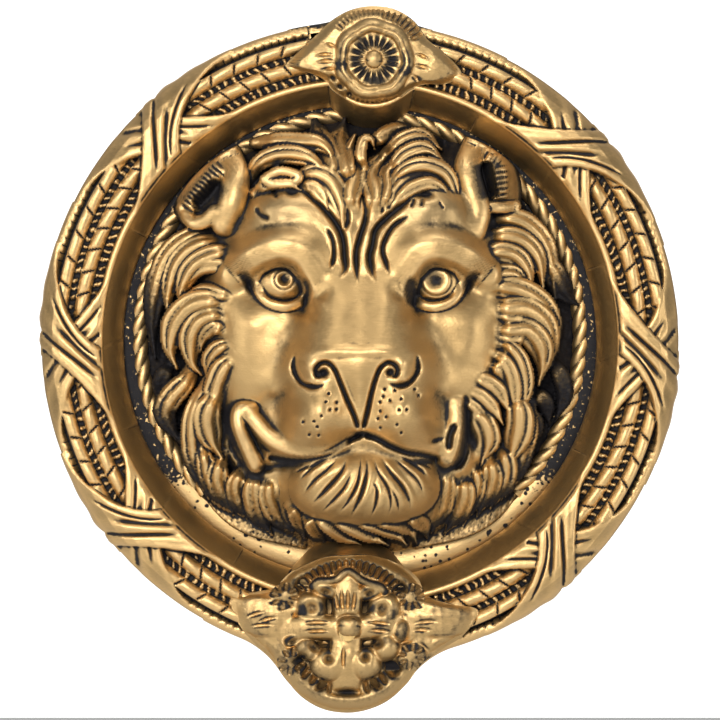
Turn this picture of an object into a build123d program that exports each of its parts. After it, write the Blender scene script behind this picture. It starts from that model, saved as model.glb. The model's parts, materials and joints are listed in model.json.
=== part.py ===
from build123d import *
import os
from math import acos, atan2, cos, degrees, hypot, radians, sin

# Lion-mask door knocker. Everything is modelled lying on its back: x runs across the door,
# y up it, and z is the height off the door face. `write` stands it up, so that in the files
# the door face is the XZ plane, +Z is up and the mask looks along -Y.

# ---- driving dimensions, millimetres and degrees -------------------------------------------
DOOR = 45.0  # door thickness that the studs are made for

PLATE_RADIUS = 78.0
PLATE_THICKNESS = 4.0
RIM_START = 64.6  # where the plate's rolled rim starts
RIM_CREST = (71.6, 7.0)  # radius and height of the rolled rim's crest
RIM_EDGE = 2.4
TAB_THICKNESS = 3.0
TAB_ROOT = 70.0  # distance from the plate's centre at which its tab and tongue start
TONGUE_HALF = 11.0

ROPE_RADIUS = 67.5
ROPE_WIRE = 2.6
ROPE_HEIGHT = 4.5
ROPE_ARC = 292.0  # the rope stops each side of the beard

RING_CENTRE = (0.0, -2.0)  # the ring hangs a little below the plate's centre
RING_OUTER = 96.7
RING_FOOT = 71.6  # inner edge at the back
RING_CREST = 77.2  # inner edge at the front
RING_BACK = 7.6
RING_SIDE = 13.0  # height of the outer edge
RING_WALL = 3.0
RIBBON_ANGLES = (-46.0, -92.0, -133.0, 46.0, 91.0, 134.0)  # clockwise from the upper medallion
RIBBON_WIDTH = 8.5
RIBBON_LEAN = 38.0
RIBBON_PROUD = 0.5  # how far the ribbons stand out from the ring's edge
TWIST = 2.5  # the cast ornament sits this much round from the hinge line

PAD_FRONT = 20.0  # flat seats under the two medallions
UPPER_PAD = (84.6, 17.0)  # distance from the ring's centre, radius
LOWER_PAD = (86.9, 24.2)
UPPER_BLEND = 40.0  # radius of the hollow between ring and pad
LOWER_BLEND = 26.0

AXIS_Y = 86.5  # hinge axis above the plate's centre
AXIS_Z = 11.8
PIN_RADIUS = 2.0
BUSH_RADIUS = 3.2
BARREL_RADIUS = 4.8
BARREL_HALF = 8.0
BUSH_FLANGE = 0.8
EAR_INSIDE = 9.2
EAR_OUTSIDE = 13.6
EAR_HEEL = 2.4  # how far the ear's stem reaches above the axis
GRUB_RADIUS = 1.25
PRESS = 0.02  # radial room of a part that doesn't turn
RUNNING = 0.05  # radial running clearance
ANVIL_TOP = 7.2
ANVIL_RADIUS = 6.5
RIVET_RADIUS = 2.5  # shanks of the anvil and of the hammer
RIVET_HEAD = (3.6, 1.2)  # radius and height of the anvil's peened end
KNOB_RADIUS = 6.8
REST_GAP = 0.25  # what is left between hammer and anvil when the ring hangs down

STUD_PITCH = 80.0
STUD_RADIUS = 3.0
THREAD_RADIUS = 2.7
STUD_TAIL = 17.0  # threaded length beyond the door
STUD_ROOT = 14.0  # height to which the studs stand up inside the mask
STUD_BOSS = (7.0, 9.0)  # radius and height
NUT_FLATS = 10.0
NUT_THICKNESS = 6.0
NUT_DOME = 13.5
JAM_NUT = 3.5
WASHER_RADIUS = 9.0
WASHER_THICKNESS = 1.6

MASK_RADIUS = 64.0
MASK_WALL = 3.5
MASK_SCREW_CIRCLE = 51.0
MASK_POST = (4.6, 15.5)  # radius and height
MASK_SCREW_RADIUS = 2.0
MASK_SCREW_HEAD = 4.1
MASK_SCREW_TIP = 13.0
COUNTERSINK = 2.05
BARREL_SCREW_RADIUS = 1.5
BARREL_SCREW_HEAD = 2.6

MEDALLION_HEIGHT = 2.4
ORNAMENT_SEAT = PAD_FRONT + MEDALLION_HEIGHT  # where the rosette and the flower start
LEAF_LAP = 5.5  # how far a leaf reaches under its medallion's edge
PETAL_REACH = 10.0
PETAL_SIZE = (9.0, 7.0)  # half width, half length
HAMMER_TOP = ORNAMENT_SEAT + 3.5  # end of the hammer's shank, inside the flower
THROUGH = 60.0  # longer than anything that it cuts through


# ---- helpers -------------------------------------------------------------------------------
def on_ring(distance, angle):
    """The point at this distance from the ring's centre, at this angle clockwise from the top."""
    turn = radians(angle)
    return (RING_CENTRE[0] + distance * sin(turn), RING_CENTRE[1] + distance * cos(turn))


STUD_PLACES = (-STUD_PITCH / 2, STUD_PITCH / 2)
UPPER_CENTRE = on_ring(UPPER_PAD[0], TWIST)
LOWER_CENTRE = on_ring(LOWER_PAD[0], 180 + TWIST)


def disc(radius, bottom, top, x=0.0, y=0.0):
    """A plain cylinder standing on the door, from one height to another."""
    return Pos(x, y, (bottom + top) / 2) * Cylinder(radius, top - bottom)


def cone(bottom_radius, top_radius, bottom, top, x=0.0, y=0.0):
    return Pos(x, y, (bottom + top) / 2) * Cone(bottom_radius, top_radius, top - bottom)


def block(x_range, y_range, z_range):
    sizes = [high - low for low, high in (x_range, y_range, z_range)]
    middle = [(high + low) / 2 for low, high in (x_range, y_range, z_range)]
    return Pos(*middle) * Box(*sizes)


def cross_rod(radius, x_from, x_to):
    """A cylinder along the hinge axis."""
    rod = Rot(0, 90, 0) * Cylinder(radius, x_to - x_from)
    return Pos((x_from + x_to) / 2, AXIS_Y, AXIS_Z) * rod


def turned(lines, centre=(0.0, 0.0)):
    """A solid of revolution about the door's normal, from a closed outline in radius and height."""
    outline = make_face([Plane.XZ * line for line in lines])
    return Pos(centre[0], centre[1], 0) * revolve(outline, Axis.Z)


def ellipsoid(x, y, z, half_width, half_height, half_depth, lean=0.0):
    ball = scale(Sphere(1), by=(half_width, half_height, half_depth))
    return Pos(x, y, z) * Rot(0, 0, lean) * ball


def mirrored_pair(make):
    """make(side) for the left and right, as one shape."""
    return make(-1) + make(1)


# ---- fixed to the door ---------------------------------------------------------------------
def rope_wire(radius):
    """The rope's outer form, open at the bottom where the beard comes down over it."""
    ring = Pos(0, 0, ROPE_HEIGHT) * Torus(ROPE_RADIUS, radius)
    gap = radians((360 - ROPE_ARC) / 2)
    reach = PLATE_RADIUS
    edge = (reach * sin(gap), -reach * cos(gap))
    corners = [(0, 0), edge, (edge[0], -2 * reach), (-edge[0], -2 * reach), (-edge[0], edge[1])]
    wedge = make_face(Polyline(*corners, close=True))
    return ring - extrude(wedge, PAD_FRONT)


def hinge_ear(side):
    """One lug of the hinge, rounded at the pin and straight back to the plate's tab."""
    low, high = sorted((side * EAR_INSIDE, side * EAR_OUTSIDE))
    head = cross_rod(BARREL_RADIUS, low, high)
    stem = block((low, high), (AXIS_Y - BARREL_RADIUS, AXIS_Y + EAR_HEEL), (0, AXIS_Z))
    return head + stem


def plate_blank():
    """The round plate with its rolled rim."""
    inner = Line((0, 0), (PLATE_RADIUS, 0))
    edge = Line((PLATE_RADIUS, 0), (PLATE_RADIUS, RIM_EDGE))
    roll = ThreePointArc((PLATE_RADIUS, RIM_EDGE), RIM_CREST, (RIM_START, PLATE_THICKNESS))
    top = Line((RIM_START, PLATE_THICKNESS), (0, PLATE_THICKNESS))
    axis = Line((0, PLATE_THICKNESS), (0, 0))
    return turned([inner, edge, roll, top, axis])


def backplate():
    """The plate with the hinge's tab and ears above, the anvil's tongue below and the stud bosses."""
    x, y = LOWER_CENTRE
    plate = plate_blank()
    plate += block((-EAR_OUTSIDE, EAR_OUTSIDE), (TAB_ROOT, AXIS_Y + EAR_HEEL), (0, TAB_THICKNESS))
    plate += block((x - TONGUE_HALF, x + TONGUE_HALF), (y, -TAB_ROOT), (0, TAB_THICKNESS))
    plate += disc(TONGUE_HALF, 0, TAB_THICKNESS, x, y)
    plate += mirrored_pair(hinge_ear)
    plate -= rope_wire(ROPE_WIRE + RUNNING)
    for stud_y in STUD_PLACES:
        plate += disc(STUD_BOSS[0], 0, STUD_BOSS[1], 0, stud_y)
        plate -= disc(THREAD_RADIUS + RUNNING, -1, THROUGH, 0, stud_y)
        plate -= disc(STUD_RADIUS + 0.2, -1, 1, 0, stud_y)
    for screw_x, screw_y in mask_screw_places():
        hole = MASK_SCREW_RADIUS + 0.2
        plate -= disc(hole, -1, THROUGH, screw_x, screw_y)
        plate -= cone(MASK_SCREW_HEAD + 0.2, hole, -0.01, COUNTERSINK + 0.05, screw_x, screw_y)
    plate -= cross_rod(PIN_RADIUS + PRESS, -THROUGH, THROUGH)
    for ear_x in (-ear_middle(), ear_middle()):
        plate -= grub_screw(ear_x, GRUB_RADIUS + RUNNING)
    plate -= disc(RIVET_RADIUS + RUNNING, -1, THROUGH, x, y)
    plate -= disc(RIVET_HEAD[0] + 0.4, -1, RIVET_HEAD[1], x, y)
    return plate


def ear_middle():
    return (EAR_INSIDE + EAR_OUTSIDE) / 2


def grub_screw(x, radius):
    """A set screw down through the top of a hinge ear on to the pin."""
    low = AXIS_Y + PIN_RADIUS + RUNNING
    high = AXIS_Y + BARREL_RADIUS
    body = Rot(90, 0, 0) * Cylinder(radius, high - low)
    return Pos(x, (low + high) / 2, AXIS_Z) * body


def pin_grub_screws():
    """The two set screws that hold the pin, with hexagon sockets."""
    socket = RegularPolygon(0.6 * GRUB_RADIUS, 6)
    cutter = Plane.XZ.offset(-(AXIS_Y + BARREL_RADIUS)) * socket
    screws = []
    for x in (-ear_middle(), ear_middle()):
        hexagon = Pos(x, 0, AXIS_Z) * extrude(cutter, 1.2)
        screws.append(grub_screw(x, GRUB_RADIUS) - hexagon)
    return screws


def hinge_pin():
    """A plain pin with chamfered ends, as long as the ears are wide apart."""
    pin = cross_rod(PIN_RADIUS, -EAR_OUTSIDE, EAR_OUTSIDE)
    return chamfer(pin.edges().filter_by(GeomType.CIRCLE), 0.4)


def rope_border():
    """The rope round the mask, lying in a groove of the plate."""
    return rope_wire(ROPE_WIRE)


def mask_screw_places():
    reach = MASK_SCREW_CIRCLE * cos(radians(45))
    return [(x, y) for x in (-reach, reach) for y in (-reach, reach)]


def mask_screws():
    """Countersunk screws through the back of the plate into the posts inside the mask."""
    screws = []
    for x, y in mask_screw_places():
        head = cone(MASK_SCREW_HEAD, MASK_SCREW_RADIUS, 0, COUNTERSINK, x, y)
        shank = disc(MASK_SCREW_RADIUS, COUNTERSINK - 0.05, MASK_SCREW_TIP, x, y)
        slot = block((x - MASK_SCREW_HEAD, x + MASK_SCREW_HEAD), (y - 0.5, y + 0.5), (-1, 0.9))
        screws.append(head + shank - slot)
    return screws


def mane_form(inset):
    """The round mass of the mane, low at its edge and rising to the face."""
    edge = MASK_RADIUS - 0.5 - inset
    outline = [
        Line((0, 0), (edge, 0)),
        Line((edge, 0), (edge, 8 - inset)),
        ThreePointArc((edge, 8 - inset), (56 - inset, 18.5 - inset), (38, 26 - inset)),
        Line((38, 26 - inset), (0, 28 - inset)),
        Line((0, 28 - inset), (0, 0)),
    ]
    return turned(outline)


def head_forms(inset):
    """The masses of the lion's head, each drawn in by `inset` so that the same forms hollow it."""
    forms = [
        (0, -2, 4, 41, 49, 34),  # skull and cheeks
        (0, -6, 16, 13, 34, 35),  # bridge of the nose
        (-11, -26, 18, 14.5, 17, 29),  # muzzle
        (11, -26, 18, 14.5, 17, 29),
        (0, -42, 14, 21, 13, 25),  # chin
        (-21, 24, 12, 18, 10, 23),  # brows
        (21, 24, 12, 18, 10, 23),
    ]
    made = mane_form(inset)
    for x, y, z, width, height, depth in forms:
        made += ellipsoid(x, y, z, width - inset, height - inset, depth - inset)
    return made


def ear(side):
    """One of the lion's ears: a round cup leaning outwards."""
    cup = ellipsoid(side * 43, 43, 12, 9, 12, 17, lean=side * -38)
    hollow = ellipsoid(side * 44, 44, 29, 5, 8, 7, lean=side * -38)
    return cup - hollow


def eye(side):
    return ellipsoid(side * 23, 15, 30, 6, 4.5, 6)


def lion_mask():
    """A hollow casting with four posts for the screws."""
    seat = block((-100, 100), (-100, 100), (PLATE_THICKNESS, 80))
    shell = head_forms(0) + mirrored_pair(ear) + mirrored_pair(eye)
    shell = shell & seat & disc(MASK_RADIUS, 0, 80)
    shell -= head_forms(MASK_WALL)
    for x, y in mask_screw_places():
        shell += disc(MASK_POST[0], PLATE_THICKNESS, MASK_POST[1], x, y)
        shell -= disc(MASK_SCREW_RADIUS + RUNNING, 0, MASK_SCREW_TIP + 0.3, x, y)
    return shell


def mounting_studs():
    """Double-ended studs: screwed into the plate, a plain shank through the door, a threaded tail."""
    studs = []
    point = 0.7
    for y in STUD_PLACES:
        root = disc(THREAD_RADIUS, 0, STUD_ROOT, 0, y)
        shank = disc(STUD_RADIUS, -DOOR, 0, 0, y)
        low = -DOOR - STUD_TAIL
        tail = disc(THREAD_RADIUS, low, -DOOR, 0, y)
        end = cone(THREAD_RADIUS - point, THREAD_RADIUS, low - point, low, 0, y)
        studs.append(root + shank + tail + end)
    return studs


def hexagon_nut(across_flats, bore, bottom, top, y):
    flat = RegularPolygon(across_flats / 2, 6, major_radius=False) - Circle(bore)
    return Pos(0, y, bottom) * extrude(flat, top - bottom)


def stud_jam_nuts():
    """Nuts inside the mask that lock the studs in the plate's bosses."""
    bore = THREAD_RADIUS + RUNNING
    seat = STUD_BOSS[1]
    return [hexagon_nut(NUT_FLATS, bore, seat, seat + JAM_NUT, y) for y in STUD_PLACES]


def door_washers():
    """Washers on the inside of the door."""
    washers = []
    for y in STUD_PLACES:
        blank = disc(WASHER_RADIUS, -DOOR - WASHER_THICKNESS, -DOOR, 0, y)
        washers.append(blank - disc(THREAD_RADIUS + 0.15, -THROUGH, 0, 0, y))
    return washers


def door_nuts():
    """Domed nuts on the inside of the door."""
    seat = -DOOR - WASHER_THICKNESS
    crown = seat - NUT_THICKNESS
    width = NUT_FLATS / 2 - 0.1
    nuts = []
    for y in STUD_PLACES:
        body = hexagon_nut(NUT_FLATS, 0.01, crown, seat, y) + disc(1, crown, seat, 0, y)
        dome = ellipsoid(0, y, crown, width, width, NUT_DOME) & disc(NUT_FLATS, -2 * THROUGH, crown, 0, y)
        tail_room = disc(THREAD_RADIUS + RUNNING, -DOOR - STUD_TAIL - 0.8, 0, 0, y)
        nuts.append(body + dome - tail_room)
    return nuts


def strike_button():
    """The anvil: a domed button riveted through the tongue of the plate."""
    crown = TAB_THICKNESS + 1.6
    head = disc(ANVIL_RADIUS, TAB_THICKNESS, crown, *LOWER_CENTRE)
    dome = ellipsoid(*LOWER_CENTRE, crown, ANVIL_RADIUS, ANVIL_RADIUS, ANVIL_TOP - crown)
    dome = dome & disc(THROUGH, crown, THROUGH, *LOWER_CENTRE)
    shank = disc(RIVET_RADIUS, 1.0, TAB_THICKNESS, *LOWER_CENTRE)
    peened = disc(RIVET_HEAD[0], 0.2, RIVET_HEAD[1], *LOWER_CENTRE)
    return head + dome + shank + peened


# ---- the swinging ring ---------------------------------------------------------------------
def fillet_patch(hub, hub_radius, pad, pad_radius, radius, side):
    """Fills the corner between two overlapping circles with a concave arc tangent to both."""
    to_hub = hub_radius + radius
    to_pad = pad_radius + radius
    apart = hypot(pad[0] - hub[0], pad[1] - hub[1])
    opening = acos((to_hub**2 + apart**2 - to_pad**2) / (2 * to_hub * apart))
    bearing = atan2(pad[1] - hub[1], pad[0] - hub[0]) + side * opening
    centre = (hub[0] + to_hub * cos(bearing), hub[1] + to_hub * sin(bearing))
    corner = make_face(Polyline(hub, centre, pad, close=True))
    return corner - Pos(*centre) * Circle(radius)


def ring_outline(shrink):
    """The ring's outer outline: a circle drawn out round the two medallions, blended by arcs."""
    hub_radius = RING_OUTER - shrink
    outline = Pos(*RING_CENTRE) * Circle(hub_radius)
    for pad, pad_radius, blend in (
        (LOWER_CENTRE, LOWER_PAD[1] - shrink, LOWER_BLEND + shrink),
        (UPPER_CENTRE, UPPER_PAD[1] - shrink - 1.4, UPPER_BLEND + shrink),
    ):
        outline += Pos(*pad) * Circle(pad_radius)
        for side in (-1, 1):
            outline += fillet_patch(RING_CENTRE, hub_radius, pad, pad_radius, blend, side)
    return outline


def crown_outline():
    """Closed outline of the ring's front: inner wall, two reeds and a plain outer rim."""
    foot = (RING_FOOT, RING_BACK)
    crest = (RING_CREST, 18.6)
    bead_valley = (79.6, 16.4)
    reed_one = ((81.6, 17.2), (83.9, 19.8), (86.2, 17.2))
    second_valley = (87.0, 16.2)
    reed_two = ((87.8, 16.6), (90.0, 18.4), (92.2, 15.6))
    rim = (93.0, 15.4)
    corner = (RING_OUTER, RING_SIDE)
    return [
        Line(foot, crest),
        Line(crest, bead_valley),
        Line(bead_valley, reed_one[0]),
        ThreePointArc(*reed_one),
        Line(reed_one[2], second_valley),
        Line(second_valley, reed_two[0]),
        ThreePointArc(*reed_two),
        Line(reed_two[2], rim),
        Line(rim, corner),
        Line(corner, (RING_OUTER, RING_BACK)),
        Line((RING_OUTER, RING_BACK), foot),
    ]


def channel_outline():
    """The hollow back of the ring."""
    points = [
        (RING_FOOT + 3.3, RING_BACK - 1),
        (80.2, 14.0),
        (91.0, 14.0),
        (RING_OUTER - RING_WALL, 11.0),
        (RING_OUTER - RING_WALL, RING_BACK - 1),
    ]
    return [Polyline(*points, close=True)]


def ribbon_bands():
    """Two flat ribbons crossing over the reeds at each tie, standing a little proud of them."""
    bottom = RING_BACK + 2
    edge = RING_OUTER + RIBBON_PROUD
    shoulder = (RING_CREST - 1.4, 19.4)
    skin = turned(
        [
            Line((RING_FOOT, bottom), shoulder),
            ThreePointArc(shoulder, (86, 21.0), (edge, RING_SIDE + 1.4)),
            Line((edge, RING_SIDE + 1.4), (edge, bottom)),
            Line((edge, bottom), (RING_FOOT, bottom)),
        ],
        RING_CENTRE,
    )
    bars = []
    for angle in RIBBON_ANGLES:
        place = on_ring((RING_OUTER + RING_FOOT) / 2, angle + TWIST)
        for lean in (-RIBBON_LEAN, RIBBON_LEAN):
            bar = Rot(0, 0, lean - angle - TWIST) * Box(RIBBON_WIDTH, THROUGH, THROUGH)
            bars.append(Pos(place[0], place[1], PAD_FRONT) * bar)
    return [skin & (first + second) for first, second in zip(bars[::2], bars[1::2])]


def ring_seat(centre, radius, height):
    """The tapering seat under a medallion, kept within the ring's outline."""
    taper = cone(radius + 2.0, radius, RING_BACK, height, *centre)
    return taper & Pos(0, 0, RING_BACK) * extrude(ring_outline(0), height)


def hinge_window():
    """The room at the back of the ring for the hinge, its screws and the ears it swings past."""
    pocket = block((-BARREL_HALF - 7, BARREL_HALF + 7), (75.5, 91.9), (0, PAD_FRONT - RING_WALL))
    back_edge = block((-21, 21), (AXIS_Y - 4.5, 110), (0, AXIS_Z + 2.2))
    return pocket + back_edge


def knocker_ring():
    """The ring casting: hollow behind, flat seats under the medallions, open at the hinge."""
    ring = turned(crown_outline(), RING_CENTRE)
    for band in ribbon_bands():
        ring += band
    ring += Pos(0, 0, RING_BACK) * extrude(ring_outline(0), RING_SIDE - RING_BACK) - disc(
        RING_OUTER - 6, 0, 30, *RING_CENTRE
    )
    ring += ring_seat(LOWER_CENTRE, LOWER_PAD[1] - 1.0, PAD_FRONT)
    ring += ring_seat(UPPER_CENTRE, UPPER_PAD[1] - 2.0, PAD_FRONT)
    ring -= turned(channel_outline(), RING_CENTRE)
    pocket = extrude(ring_outline(RING_WALL), 4.8) - disc(RING_OUTER - 7, -1, 30, *RING_CENTRE)
    ring -= Pos(0, 0, RING_BACK - 1) * pocket
    ceiling = PAD_FRONT - RING_WALL
    ring -= cone(LOWER_PAD[1] - 1.6, LOWER_PAD[1] - 4.2, RING_BACK - 1, ceiling, *LOWER_CENTRE)
    ring -= cone(UPPER_PAD[1] - 3.0, UPPER_PAD[1] - 5.0, RING_BACK - 1, ceiling, *UPPER_CENTRE)
    ring -= hinge_window()
    for screw_x, screw_y in barrel_screw_places():
        ring -= disc(BARREL_SCREW_RADIUS + 0.1, 0, THROUGH, screw_x, screw_y)
    return ring - disc(RIVET_RADIUS + RUNNING, 0, THROUGH, *LOWER_CENTRE)


def barrel_screw_places():
    return [(-5.0, 78.6), (5.0, 78.6)]


def hinge_barrel():
    """The ring's knuckle: a bored block on a foot that screws up inside the ring."""
    barrel = cross_rod(BARREL_RADIUS, -BARREL_HALF, BARREL_HALF)
    top = PAD_FRONT - RING_WALL
    barrel += block(
        (-BARREL_HALF, BARREL_HALF), (AXIS_Y - BARREL_RADIUS, AXIS_Y + BARREL_RADIUS), (AXIS_Z, top)
    )
    barrel += block((-BARREL_HALF, BARREL_HALF), (76.0, AXIS_Y), (top - 2, top))
    barrel -= cross_rod(BUSH_RADIUS, -THROUGH, THROUGH)
    for x, y in barrel_screw_places():
        barrel -= disc(BARREL_SCREW_RADIUS + 0.1, 0, THROUGH, x, y)
    return barrel


def barrel_screws():
    """Pan-head screws through the barrel's foot and the ring into the upper medallion."""
    foot = PAD_FRONT - RING_WALL - 2
    screws = []
    for x, y in barrel_screw_places():
        head = disc(BARREL_SCREW_HEAD, foot - 1.6, foot, x, y)
        shank = disc(BARREL_SCREW_RADIUS, foot - 0.1, PAD_FRONT + 2.0, x, y)
        slot = block((x - 4, x + 4), (y - 0.3, y + 0.3), (foot - 3, foot - 0.9))
        screws.append(head + shank - slot)
    return screws


def hinge_bush(side):
    """A flanged bronze bush pressed into one end of the barrel."""
    low, high = sorted((side * 0.6, side * BARREL_HALF))
    body = cross_rod(BUSH_RADIUS, low, high)
    low, high = sorted((side * BARREL_HALF, side * (BARREL_HALF + BUSH_FLANGE)))
    flange = cross_rod(BARREL_RADIUS - 0.3, low, high)
    return body + flange - cross_rod(PIN_RADIUS + RUNNING, -THROUGH, THROUGH)


def leaf(centre, angle, reach, width, bottom, top):
    """A pointed leaf lying along the ring beside a medallion."""
    x, y = centre
    half = reach / 2
    upper = ThreePointArc((-half, 0), (0, width / 2), (half, 0))
    lower = ThreePointArc((half, 0), (0, -width / 2), (-half, 0))
    shape = make_face([upper, lower])
    return Pos(x, y, bottom) * Rot(0, 0, -angle) * extrude(shape, top - bottom)


def scalloped(radius, depth, lobes, bottom, top, centre):
    """A disc whose edge has shallow round lobes."""
    shape = Circle(radius - depth)
    reach = radius - 2 * depth
    for lobe in range(lobes):
        turn = radians(360 * lobe / lobes)
        shape += Pos(reach * sin(turn), reach * cos(turn)) * Circle(2 * depth)
    return Pos(centre[0], centre[1], bottom) * extrude(shape, top - bottom)


def medallion(pad, angle, leaf_reach, leaf_width):
    """A round fan-edged plate on the ring, with a leaf each side of it."""
    centre = on_ring(pad[0], angle)
    plate = scalloped(pad[1] - 1.6, 0.9, 24, PAD_FRONT, ORNAMENT_SEAT, centre)
    for side in (-1, 1):
        spread = side * degrees((pad[1] + leaf_reach / 2 - LEAF_LAP) / pad[0])
        place = on_ring(pad[0] - 0.6, angle + spread)
        plate += leaf(place, angle + spread, leaf_reach, leaf_width, PAD_FRONT, ORNAMENT_SEAT - 0.6)
    return plate


def upper_medallion():
    """The seat of the rosette, tapped from behind for the barrel's screws."""
    plate = medallion(UPPER_PAD, TWIST, 20, 13)
    for x, y in barrel_screw_places():
        plate -= disc(BARREL_SCREW_RADIUS + RUNNING, 0, PAD_FRONT + 2.0 + RUNNING, x, y)
    return plate


def upper_rosette():
    """A dished rosette with a raised centre, brazed on the upper medallion."""
    rosette = scalloped(10.6, 0.9, 8, ORNAMENT_SEAT, ORNAMENT_SEAT + 2.6, UPPER_CENTRE)
    rosette -= disc(7.4, ORNAMENT_SEAT + 1.2, THROUGH, *UPPER_CENTRE)
    button = ellipsoid(*UPPER_CENTRE, ORNAMENT_SEAT + 1.0, 2.4, 2.4, 2.0)
    return rosette + (button & disc(3, ORNAMENT_SEAT, THROUGH, *UPPER_CENTRE))


def lower_medallion():
    """The seat of the flower, with a hole for the striker's shank."""
    plate = medallion(LOWER_PAD, 180 + TWIST, 24, 15)
    return plate - disc(RIVET_RADIUS + RUNNING, 0, THROUGH, *LOWER_CENTRE)


def lower_flower():
    """Four broad petals round a boss, screwed down on the lower medallion by the striker."""
    x, y = LOWER_CENTRE
    boss_seat = ORNAMENT_SEAT + 4.0
    flower = disc(6.0, ORNAMENT_SEAT, boss_seat, x, y)
    for quarter in range(4):
        turn = quarter * 90 + TWIST
        out = Pos(PETAL_REACH * sin(radians(turn)), PETAL_REACH * cos(radians(turn)))
        petal = (out * Rot(0, 0, -turn) * Ellipse(*PETAL_SIZE)) - Circle(3)
        flower += Pos(x, y, ORNAMENT_SEAT) * extrude(petal, 2.8)
    flower += ellipsoid(x, y, boss_seat, 4.6, 4.6, 3.6) & disc(5, ORNAMENT_SEAT, THROUGH, x, y)
    return flower - disc(RIVET_RADIUS + RUNNING, 0, HAMMER_TOP + 0.1, x, y)


def striker_knob():
    """The hammer: a domed knob whose shank goes through the ring and holds the flower."""
    top = PAD_FRONT - RING_WALL
    tip = ANVIL_TOP + REST_GAP
    flange = KNOB_RADIUS + 1.4
    knob = turned(
        [
            ThreePointArc((0, tip), (4.2, tip + 1.0), (KNOB_RADIUS, tip + 3.4)),
            Line((KNOB_RADIUS, tip + 3.4), (KNOB_RADIUS, top - 2.5)),
            Line((KNOB_RADIUS, top - 2.5), (flange, top - 1.6)),
            Line((flange, top - 1.6), (flange, top)),
            Line((flange, top), (0, top)),
            Line((0, top), (0, tip)),
        ],
        LOWER_CENTRE,
    )
    return knob + disc(RIVET_RADIUS, top - 1, HAMMER_TOP, *LOWER_CENTRE)


# ---- files ---------------------------------------------------------------------------------
PARTS = {
    "backplate": backplate,
    "lion_mask": lion_mask,
    "rope_border": rope_border,
    "mask_screws": mask_screws,
    "mounting_studs": mounting_studs,
    "stud_jam_nuts": stud_jam_nuts,
    "door_washers": door_washers,
    "door_nuts": door_nuts,
    "strike_button": strike_button,
    "hinge_pin": hinge_pin,
    "pin_grub_screws": pin_grub_screws,
    "knocker_ring": knocker_ring,
    "hinge_barrel": hinge_barrel,
    "barrel_screws": barrel_screws,
    "left_hinge_bush": lambda: hinge_bush(-1),
    "right_hinge_bush": lambda: hinge_bush(1),
    "upper_medallion": upper_medallion,
    "upper_rosette": upper_rosette,
    "lower_medallion": lower_medallion,
    "lower_flower": lower_flower,
    "striker_knob": striker_knob,
}


def write(name, shape):
    """Stands a part up on the door and writes it; a list becomes separate solids in one file."""
    if isinstance(shape, list):
        solids = [solid for piece in shape for solid in piece.solids()]
    else:
        solids = shape.solids()
    upright = Rot(90, 0, 0) * Compound(children=solids)
    export_step(upright, os.path.join("parts", name + ".step"))


os.makedirs("parts", exist_ok=True)
for part_name, make in PARTS.items():
    write(part_name, make())
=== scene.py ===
"""The looks of the lion-mask door knocker: sculpted brass surfaces, patina, light and camera.

Shapes are worked out in millimetres: x to the right, y up the door, h the height off the door.
`place` turns them into the row's frame, in metres, where the mask looks along -Y.
"""

import json
import math

import bmesh
import bpy
import mathutils
import numpy as np
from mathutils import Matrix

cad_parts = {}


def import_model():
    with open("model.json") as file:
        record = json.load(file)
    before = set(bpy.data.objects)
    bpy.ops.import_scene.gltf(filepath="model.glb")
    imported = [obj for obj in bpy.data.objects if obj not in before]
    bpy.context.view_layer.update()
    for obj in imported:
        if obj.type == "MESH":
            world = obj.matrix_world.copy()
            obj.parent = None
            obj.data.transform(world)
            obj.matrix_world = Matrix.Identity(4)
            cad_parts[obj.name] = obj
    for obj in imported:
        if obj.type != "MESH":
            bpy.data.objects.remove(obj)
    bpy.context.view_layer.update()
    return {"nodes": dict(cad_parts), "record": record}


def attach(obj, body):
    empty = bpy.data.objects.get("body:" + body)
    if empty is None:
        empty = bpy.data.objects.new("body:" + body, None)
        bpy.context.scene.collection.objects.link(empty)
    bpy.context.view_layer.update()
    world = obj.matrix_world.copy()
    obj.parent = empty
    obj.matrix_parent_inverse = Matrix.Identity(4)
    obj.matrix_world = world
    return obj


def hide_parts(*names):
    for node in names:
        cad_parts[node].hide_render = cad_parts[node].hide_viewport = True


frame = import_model()

MM = 0.001
EYE_DISTANCE = 0.9  # metres from the door to the camera
EYE_HEIGHT = -7.5  # of the camera, against the plate's centre; the head is drawn as seen from here
RING_CENTRE = (0.0, -2.0)
TWIST = 2.5  # degrees that the ring's ornament is turned clockwise from the hinge line


# ---- small tools ---------------------------------------------------------------------------
def smooth_step(low, high, value):
    """0 up to `low` and 1 from `high` on, with an eased change between."""
    t = np.clip((value - low) / (high - low), 0, 1)
    return t * t * (3 - 2 * t)


def smooth_max(a, b, blend):
    """The higher of two surfaces, with a fillet `blend` wide where they meet."""
    overlap = np.maximum(0, 1 - np.abs(a - b) / blend)
    return np.maximum(a, b) + blend / 4 * overlap**2


def smooth_min(a, b, blend):
    """The lower of two surfaces, with the same fillet."""
    return -smooth_max(-a, -b, blend)


def bump(value):
    """1 at zero, falling smoothly to 0 at -1 and 1."""
    return np.clip(1 - value**2, 0, 1) ** 2


def turned(x, y, degrees):
    """Coordinates of points along axes turned clockwise by `degrees`."""
    a = math.radians(degrees)
    return x * math.cos(a) - y * math.sin(a), x * math.sin(a) + y * math.cos(a)


def rough(x, y, size, seed=0):
    """A repeatable rolling noise in -1..1: a few sine waves in scattered directions."""
    draw = np.random.default_rng(seed)
    total = 0
    for _ in range(7):
        angle = draw.uniform(0, 2 * math.pi)
        scale = size * draw.uniform(0.7, 1.6)
        phase = draw.uniform(0, 2 * math.pi)
        wave = (x * math.cos(angle) + y * math.sin(angle)) / scale * 2 * math.pi
        total = total + np.sin(wave + phase + 1.3 * np.sin(wave * 0.37 + phase))
    return total / 7


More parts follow.
